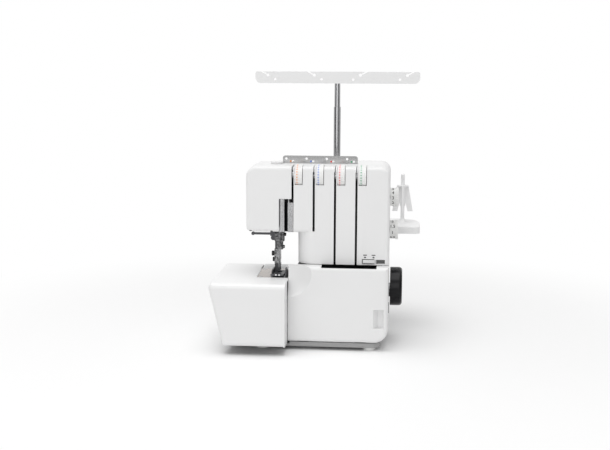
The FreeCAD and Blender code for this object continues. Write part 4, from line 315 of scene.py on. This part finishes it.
# Cloth plate: the side cover's white plastic, coloured lighter as painted light on its top
lit_top_white = moulding("cloth plate white painted lighter", (0.88, 0.88, 0.88), 0.34)
dial_white = moulding("dial white", (0.84, 0.84, 0.83), 0.42)
bar_grey = moulding("guide bar grey", (0.79, 0.79, 0.79), 0.42, texture=0.08)
stand_white = moulding("thread stand white", (0.86, 0.86, 0.86), 0.42, texture=0.08)
rib_grey = moulding("rib grey", (0.22, 0.22, 0.22), 0.5, texture=0.1)
pan_grey = moulding("pan grey", (0.34, 0.34, 0.34), 0.5, texture=0.1)
black_gloss = moulding("handwheel black", (0.006, 0.006, 0.007), 0.20, texture=0.01, shine=0.18)
dark_moulding = moulding("dark moulding", (0.030, 0.030, 0.032), 0.5, texture=0.15)
foot_rubber = moulding("pale foot rubber", (0.78, 0.78, 0.77), 0.7, texture=0.2, scale=1200.0)
belt_rubber = moulding("belt rubber", (0.020, 0.020, 0.020), 0.75, texture=0.3, scale=1500.0)
lens_white = moulding("frosted lens", (0.88, 0.87, 0.80), 0.3, texture=0.12, scale=3000.0)
chrome_with_groove_shade = metal_with_groove_shade("bright chrome with painted groove shade", (0.66, 0.66, 0.67), 0.24, TAKE_UP_GROOVE, TAKE_UP_GROOVE_FROM)
pole_chrome = metal("pole chrome", (0.46, 0.46, 0.47), 0.20, stretch=(1.0, 1.0, 0.04), scale=1400.0)
guide_steel = metal("guide steel", (0.35, 0.35, 0.35), 0.22, stretch=(0.04, 1.0, 1.0), scale=1200.0)
plate_steel = metal("plate steel", (0.49, 0.44, 0.405), 0.24, stretch=(1.0, 0.05, 1.0), scale=1500.0)
turned_steel = metal("turned steel", (0.55, 0.55, 0.56), 0.26, stretch=(1.0, 1.0, 0.06), scale=1200.0)
ground_steel = metal("ground steel", (0.10, 0.10, 0.105), 0.34, stretch=(1.0, 0.08, 1.0), scale=1500.0)
bronze = metal("bearing bronze", (0.62, 0.44, 0.24), 0.45, scale=1800.0, relief=0.1)
clamp_steel = metal_with_black_end("clamp steel", (0.24, 0.24, 0.245), 0.30, CLAMP_SCREWS_FROM, 1)
holder_steel = metal_with_black_end("holder steel", (0.42, 0.42, 0.425), 0.30, HOLDER_SCREWS_FROM, -1)
frame_casting = cast_metal("frame casting", (0.34, 0.34, 0.35))
motor_paint = cast_metal("motor paint", (0.06, 0.06, 0.065))
# Black print; the same black also paints the shadow lines round the selector window
print_and_shade_black = ink("black print and painted shade", (0.02, 0.02, 0.02))
ink_white = ink("white print", (0.88, 0.88, 0.88))
thread_inks = [ink("thread mark " + n.replace("_", " "), t) for n, t in zip(DIAL_NAMES, THREAD_TINTS)]

FINISHES = {
    casing_white_slot_shaded: ["front_cover", "face_cover"],
    smooth_white: ["top_cover", "rear_cover", "end_cover", "looper_cover", "side_cover",
                   "rear_bed_cover", "pressure_knob", "selector_slider"],
    lit_top_white: ["cloth_plate"],
    dial_white: [n + "_tension_dial" for n in DIAL_NAMES] + ["stitch_length_dial", "differential_feed_dial"],
    bar_grey: ["thread_guide_bar"],
    stand_white: ["spool_stand", "spool_pins", "spool_cones"],
    pan_grey: ["base_pan"],
    black_gloss: ["handwheel"],
    dark_moulding: ["bed_cover", "shaft_pulley", "power_socket_block", "power_switch"],
    foot_rubber: ["rubber_feet"],
    belt_rubber: ["drive_belt"],
    lens_white: ["sewing_lamp"],
    chrome_with_groove_shade: ["take_up_cover"],
    pole_chrome: ["pole_base_tube", "pole_middle_tube", "pole_top_tube"],
    guide_steel: ["upper_thread_guide"],
    plate_steel: ["needle_plate"],
    turned_steel: ["looper_cover_hinge_rod", "main_feed_dog", "differential_feed_dog", "lower_knife",
                   "upper_looper", "lower_looper", "main_shaft", "motor_pulley", "needle_bar", "needles",
                   "needle_rocker", "connecting_rod", "presser_spring", "tension_discs", "casing_screws"],
    ground_steel: ["upper_knife", "presser_bar", "presser_lifter", "presser_foot"],
    bronze: ["shaft_bushes"],
    clamp_steel: ["needle_clamp"],
    holder_steel: ["presser_foot_holder"],
    frame_casting: ["machine_frame"],
    motor_paint: ["motor"],
}
for finish, names in FINISHES.items():
    for name in names:
        data = nodes[name].data
        data.materials.clear()
        data.materials.append(finish)


# Surfaces

def sheet_of(name, points, wrap_u, wrap_v, body, finish, uv=False):
    """Mesh over a grid of points (nu, nv, 3) in millimetres.

    A wrapped direction joins its last row to its first.
    """
    nu, nv, _ = points.shape
    rows = np.arange(nu if wrap_u else nu - 1)
    columns = np.arange(nv if wrap_v else nv - 1)
    iu, iv = np.meshgrid(rows, columns, indexing="ij")
    ju = (iu + 1) % nu
    jv = (iv + 1) % nv
    faces = np.stack([iu * nv + iv, ju * nv + iv, ju * nv + jv, iu * nv + jv], axis=-1).reshape(-1, 4)
    mesh = bpy.data.meshes.new(name)
    mesh.from_pydata((points.reshape(-1, 3) * MM).tolist(), [], faces.tolist())
    if uv:
        layer = mesh.uv_layers.new(name="along")
        across = np.stack([iv, iv, iv + 1, iv + 1], axis=-1).reshape(-1) / nv
        along = np.stack([iu, iu + 1, iu + 1, iu], axis=-1).reshape(-1) / nu
        layer.data.foreach_set("uv", np.stack([across, along], axis=-1).astype(np.float32).ravel())
    return piece_from(name, mesh, body, finish, merge=not uv)


def piece_from(name, mesh, body, finish, merge=True):
    """Piece at the origin that rides a body, with doubles merged and faces turned outwards."""
    form = bmesh.new()
    form.from_mesh(mesh)
    if merge:
        bmesh.ops.remove_doubles(form, verts=form.verts, dist=1e-7)
    bmesh.ops.recalc_face_normals(form, faces=form.faces)
    form.to_mesh(mesh)
    form.free()
    piece = bpy.data.objects.new(name, mesh)
    scene.collection.objects.link(piece)
    mesh.materials.append(finish)
    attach(piece, body)
    return piece


def ring_band(name, centre, radii, span, body, finish, steps=160):
    """Flat band round an X axis: a thin rectangle (x, r) carried round y = r cos t, z = r sin t."""
    turn = np.linspace(0, 2 * math.pi, steps, endpoint=False)[:, None]
    x = np.array([span[0], span[1], span[1], span[0]])[None, :]
    r = np.array([radii[1], radii[1], radii[0], radii[0]])[None, :]
    y = centre[0] + r * np.cos(turn)
    z = centre[1] + r * np.sin(turn)
    points = np.stack(np.broadcast_arrays(x, y, z), axis=-1)
    return sheet_of(name, points, True, True, body, finish, uv=True)


def soft_block(name, centre, half, power, body, finish, steps=(28, 15)):
    """Rounded block: the superellipsoid c + h * (C(v)C(u), C(v)S(u), S(v)).

    C and S are the cosine and the sine raised to a power, with their sign kept.
    """
    u = np.linspace(0, 2 * math.pi, steps[0], endpoint=False)[:, None]
    v = np.linspace(-math.pi / 2, math.pi / 2, steps[1])[None, :]

    def shaped(value):
        return np.sign(value) * np.abs(value) ** power

    ring = shaped(np.cos(v)).clip(0, None)
    parts = (ring * shaped(np.cos(u)), ring * shaped(np.sin(u)), shaped(np.sin(v)))
    parts = np.broadcast_arrays(*parts)
    points = np.stack([c + h * p for c, h, p in zip(centre, half, parts)], axis=-1)
    return sheet_of(name, points, True, False, body, finish)


def ribbed_plate(name, x, z, y, ribs, depth, body, finish, steps=120):
    """Upright plate whose front waves as y0 - d |sin(pi n s)| along X, closed by a flat back."""
    s = np.linspace(0, 1, steps)[:, None]
    front = y[0] - depth * np.abs(np.sin(math.pi * ribs * s))
    back = np.full_like(s, y[1])
    across = np.concatenate([front, front, back, back], axis=1)
    up = np.array([z[0], z[1], z[1], z[0]])[None, :]
    points = np.stack(np.broadcast_arrays(x[0] + (x[1] - x[0]) * s, across, up), axis=-1)
    return capped(name, points, body, finish)


def capped(name, points, body, finish):
    """Closed tube from a grid of sections, with a flat cap on each end."""
    nu, nv, _ = points.shape
    iu, iv = np.meshgrid(np.arange(nu - 1), np.arange(nv), indexing="ij")
    jv = (iv + 1) % nv
    ju = iu + 1
    sides = np.stack([iu * nv + iv, ju * nv + iv, ju * nv + jv, iu * nv + jv], axis=-1).reshape(-1, 4)
    ends = [list(range(nv)), list(range((nu - 1) * nv, nu * nv))]
    mesh = bpy.data.meshes.new(name)
    mesh.from_pydata((points.reshape(-1, 3) * MM).tolist(), [], sides.tolist() + ends)
    return piece_from(name, mesh, body, finish)


def figures(name, words, centre, radius, x, start, step, size, body, finish):
    """Numbers round an X axis: each word lies on the tangent plane where y = r cos t, z = r sin t."""
    corners = []
    faces = []
    base = 0
    for index, word in enumerate(words):
        curve = bpy.data.curves.new(name + word, "FONT")
        curve.body = word
        curve.size = size
        curve.offset = 0.1
        curve.extrude = 0.05
        curve.align_x = "CENTER"
        curve.align_y = "CENTER"
        holder = bpy.data.objects.new(name + word, curve)
        scene.collection.objects.link(holder)
        bpy.context.view_layer.update()
        flat = bpy.data.meshes.new_from_object(holder.evaluated_get(bpy.context.evaluated_depsgraph_get()))
        flat_points = np.empty(len(flat.vertices) * 3, dtype=np.float32)
        flat.vertices.foreach_get("co", flat_points)
        flat_points = flat_points.reshape(-1, 3)
        angle = math.radians(start + step * index)
        out = np.array([0, math.cos(angle), math.sin(angle)])
        up = np.array([0, math.sin(angle), -math.cos(angle)])
        middle = np.array([x, centre[0], centre[1]]) + (radius + 0.02) * out
        axes = np.stack([np.array([1.0, 0, 0]), up, out])
        corners.append(middle + flat_points @ axes)
        faces += [[base + i for i in polygon.vertices] for polygon in flat.polygons]
        base += len(flat_points)
        bpy.data.objects.remove(holder)
        bpy.data.meshes.remove(flat)
        bpy.data.curves.remove(curve)
    mesh = bpy.data.meshes.new(name)
    mesh.from_pydata((np.concatenate(corners) * MM).tolist(), [], faces)
    return piece_from(name, mesh, body, finish)


def coil(name, at, radius, wire, span, turns, body, finish, steps=(420, 12)):
    """Coil spring: a circle of the wire's radius carried along (R cos t, R sin t, z rising evenly)."""
    t = np.linspace(0, 2 * math.pi * turns, steps[0])[:, None]
    a = np.linspace(0, 2 * math.pi, steps[1], endpoint=False)[None, :]
    out = radius + wire * np.cos(a)
    rise = span[0] + (span[1] - span[0]) * t / t[-1] + wire * np.sin(a)
    points = np.stack([at[0] + out * np.cos(t), at[1] + out * np.sin(t), rise], axis=-1)
    return capped(name, points, body, finish)


# Presser spring drawn as a wound coil in place of the part's spring
wound = (SPRING_AT, SPRING_RADIUS, SPRING_WIRE, SPRING_SPAN, SPRING_TURNS)
spring = coil("presser_coil", *wound, "machine", turned_steel)
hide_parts("presser_spring")
low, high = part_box("presser_spring")
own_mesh(spring)

# Printed scales on the tension dials
for i, dial in enumerate(DIAL_NAMES):
    low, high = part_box(dial + "_tension_dial")
    wheel = (low + high) / 2 / MM
    rim = (high.z - low.z) / 2 / MM
    strip = (low.x / MM + SCALE_SPAN[0], low.x / MM + SCALE_SPAN[1])
    radii = (rim - SCALE_SUNK, rim + PRINT_RISE)
    tinted = printed_scale("dial scale " + dial.replace("_", " "), THREAD_TINTS[i])
    band = ring_band(dial + "_scale", (wheel.y, wheel.z), radii, strip, dial + "_dial", tinted)

# Colour marks beside the lower holes of the thread guide
low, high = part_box("upper_thread_guide")
for i in range(4):
    spot = (GUIDE_MARK_FIRST + GUIDE_MARK_PITCH * i, low.y / MM, low.z / MM + GUIDE_MARK_UP)
    half = (1.3, PRINT_RISE, 1.5)
    soft_block("thread_mark_%d" % (i + 1), spot, half, 0.3, "machine", thread_inks[i])

# Numbers on the two right-hand dials
for node, words, start, step in (("stitch_length_dial", ["1", "2", "3", "4", "5"], 246, -33),
                                 ("differential_feed_dial", ["0.5", "1", "1.5", "2"], 232, -40)):
    low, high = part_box(node)
    mid = (low + high) / 2 / MM
    body = node.replace("feed_", "")
    ring = ((mid.y, mid.z), END_DIAL_RADIUS, FIGURES_X, start, step, FIGURE_SIZE)
    numbers = figures(node + "_numbers", words, *ring, body, print_and_shade_black)

# Grey ribbed track behind the selector's window, the printed marks over it, and painted shadow lines along
# the window's top, bottom and left edges
ribs = (TRACK_X, TRACK_Z, TRACK_Y, TRACK_RIBS, TRACK_RIB_DEPTH)
track = ribbed_plate("selector_track", *ribs, "machine", rib_grey)
signs = (("mark", SELECTOR_MARK_Z, (1.5, PRINT_RISE, 1.2), 0.7),
         ("dash", SELECTOR_DASH_Z, (3.0, PRINT_RISE, 0.7), 0.3))
for i, x in enumerate(SELECTOR_MARKS_X):
    for sign, z, half, power in signs:
        name = "selector_%s_%d" % (sign, i + 1)
        print_mark = soft_block(name, (x, CASING_FRONT, z), half, power, "machine", print_and_shade_black)
# Thin near-black strips on the casing: painted shadow of the gap round the selector window
level = (9.3, PRINT_RISE, SELECTOR_GAP_SHADE_HALF)
upright = (SELECTOR_GAP_SHADE_HALF, PRINT_RISE, 3.9)
lines = (("top", SELECTOR_GAP_SHADE_X[1], SELECTOR_GAP_SHADE_Z[2], level),
         ("low", SELECTOR_GAP_SHADE_X[1], SELECTOR_GAP_SHADE_Z[0], level),
         ("left", SELECTOR_GAP_SHADE_X[0], SELECTOR_GAP_SHADE_Z[1], upright))
for side, x, z, half in lines:
    line = soft_block("selector_gap_shade_" + side, (x, CASING_FRONT, z), half, 0.15, "machine", print_and_shade_black)

# White marks on the presser foot's toe
low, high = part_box("presser_foot")
for i, x in enumerate(FOOT_MARKS_X):
    spot = (x, low.y / MM, low.z / MM + FOOT_MARK_UP)
    mark = soft_block("foot_mark_%d" % (i + 1), spot, (1.3, 0.15, 1.2), 0.3, "presser_bar", ink_white)


# Studio
FLOOR_REACH = 12.0
FLOOR_FADE = (0.30, 0.80)
CAMERA_PLACE = (0.1225, -1.6935, 0.455)
CAMERA_TURN = 5.0
CAMERA_DIP = 9.1
CAMERA_ROLL = 0.2
CAMERA_LENS = 62.14


def rectangle(w, h):
    """Corners of a flat rectangle of half sizes w and h about the origin."""
    return [(-w, -h, 0), (w, -h, 0), (w, h, 0), (-w, h, 0)]


def floor():
    """Wide pale floor that keeps the machine's shadow."""
    material, shader, make, link = fresh("studio floor")
    spot = make("ShaderNodeTexCoord").outputs["Object"]
    link(shaded(make, link, spot, (0.95, 0.95, 0.95), 0.004, 3.0), shader.inputs["Base Color"])
    shader.inputs["Roughness"].default_value = 0.9
    shader.inputs["Specular IOR Level"].default_value = 0.1
    tree = material.node_tree
    away = make("ShaderNodeVectorMath", operation="LENGTH")
    link(spot, away.inputs[0])
    ramp = make("ShaderNodeMapRange", interpolation_type="SMOOTHSTEP")
    ramp.inputs["From Min"].default_value = FLOOR_FADE[0]
    ramp.inputs["From Max"].default_value = FLOOR_FADE[1]
    link(away.outputs["Value"], ramp.inputs["Value"])
    path = make("ShaderNodeLightPath")
    share = number(make, link, "MULTIPLY", ramp.outputs["Result"], path.outputs["Is Camera Ray"])
    plain = make("ShaderNodeEmission")
    both = make("ShaderNodeMixShader")
    link(share, both.inputs["Fac"])
    link(shader.outputs[0], both.inputs[1])
    link(plain.outputs[0], both.inputs[2])
    link(both.outputs[0], tree.nodes["Material Output"].inputs["Surface"])
    mesh = bpy.data.meshes.new("floor")
    mesh.from_pydata(rectangle(FLOOR_REACH, FLOOR_REACH), [], [(0, 1, 2, 3)])
    ground = bpy.data.objects.new("floor", mesh)
    mesh.materials.append(material)
    scene.collection.objects.link(ground)


def softbox(name, place, aim, size, power):
    """Square lamp turned towards a point."""
    lamp = bpy.data.lights.new(name, "AREA")
    lamp.shape = "SQUARE"
    lamp.size = size
    lamp.energy = power
    holder = bpy.data.objects.new(name, lamp)
    holder.location = place
    holder.rotation_euler = (Vector(aim) - Vector(place)).to_track_quat("-Z", "Y").to_euler()
    scene.collection.objects.link(holder)


def white_world(level):
    """White surroundings: full white to the eye and to metal, a lower level as light."""
    world = bpy.data.worlds.new("studio")
    world.use_nodes = True
    tree = world.node_tree
    back = tree.nodes["Background"]
    back.inputs["Color"].default_value = (1, 1, 1, 1)
    path = tree.nodes.new("ShaderNodeLightPath")
    seen = tree.nodes.new("ShaderNodeMath")
    seen.operation = "MAXIMUM"
    tree.links.new(path.outputs["Is Camera Ray"], seen.inputs[0])
    tree.links.new(path.outputs["Is Glossy Ray"], seen.inputs[1])
    also = tree.nodes.new("ShaderNodeMath")
    also.operation = "MAXIMUM"
    tree.links.new(seen.outputs[0], also.inputs[0])
    tree.links.new(path.outputs["Is Transmission Ray"], also.inputs[1])
    strength = tree.nodes.new("ShaderNodeMapRange")
    strength.inputs["To Min"].default_value = level
    strength.inputs["To Max"].default_value = 1.0
    tree.links.new(also.outputs[0], strength.inputs["Value"])
    tree.links.new(strength.outputs["Result"], back.inputs["Strength"])
    scene.world = world


def camera():
    """Camera at the photograph's place: a little right of the front, looking slightly down."""
    lens = bpy.data.cameras.new("camera")
    lens.sensor_width = 36.0
    lens.lens = CAMERA_LENS
    lens.clip_start = 0.05
    holder = bpy.data.objects.new("camera", lens)
    turn = Matrix.Rotation(math.radians(CAMERA_TURN), 4, "Z")
    turn = turn @ Matrix.Rotation(math.radians(90.0 - CAMERA_DIP), 4, "X")
    turn = turn @ Matrix.Rotation(math.radians(CAMERA_ROLL), 4, "Z")
    holder.matrix_world = Matrix.Translation(CAMERA_PLACE) @ turn
    scene.collection.objects.link(holder)
    scene.camera = holder


def dark_card(name, place, aim, size):
    """Black card off to one side, seen only in reflections."""
    material, shader, make, link = fresh(name)
    shader.inputs["Base Color"].default_value = (0.01, 0.01, 0.01, 1)
    shader.inputs["Roughness"].default_value = 1.0
    mesh = bpy.data.meshes.new(name)
    mesh.from_pydata(rectangle(size[0] / 2, size[1] / 2), [], [(0, 1, 2, 3)])
    mesh.materials.append(material)
    card = bpy.data.objects.new(name, mesh)
    card.location = place
    card.rotation_euler = (Vector(aim) - Vector(place)).to_track_quat("-Z", "Y").to_euler()
    scene.collection.objects.link(card)
    card.visible_camera = False
    card.visible_diffuse = False
    card.visible_shadow = False
    card.visible_transmission = False


floor()
white_world(0.50)
softbox("top light", (-0.25, -0.55, 2.6), (0, 0, 0.1), 2.4, 44.0)
softbox("front light", (-0.5, -2.6, 0.7), (0, 0, 0.12), 1.6, 11.0)
dark_card("left card", (-1.6, -1.1, 0.4), (0, 0, 0.2), (1.3, 1.8))
dark_card("right card", (1.7, -1.0, 0.4), (0, 0, 0.2), (1.0, 1.8))
dark_card("low card", (-0.15, -2.3, 0.002), (-0.15, -2.3, 1.0), (0.95, 2.8))
camera()
scene.view_settings.view_transform = "Standard"
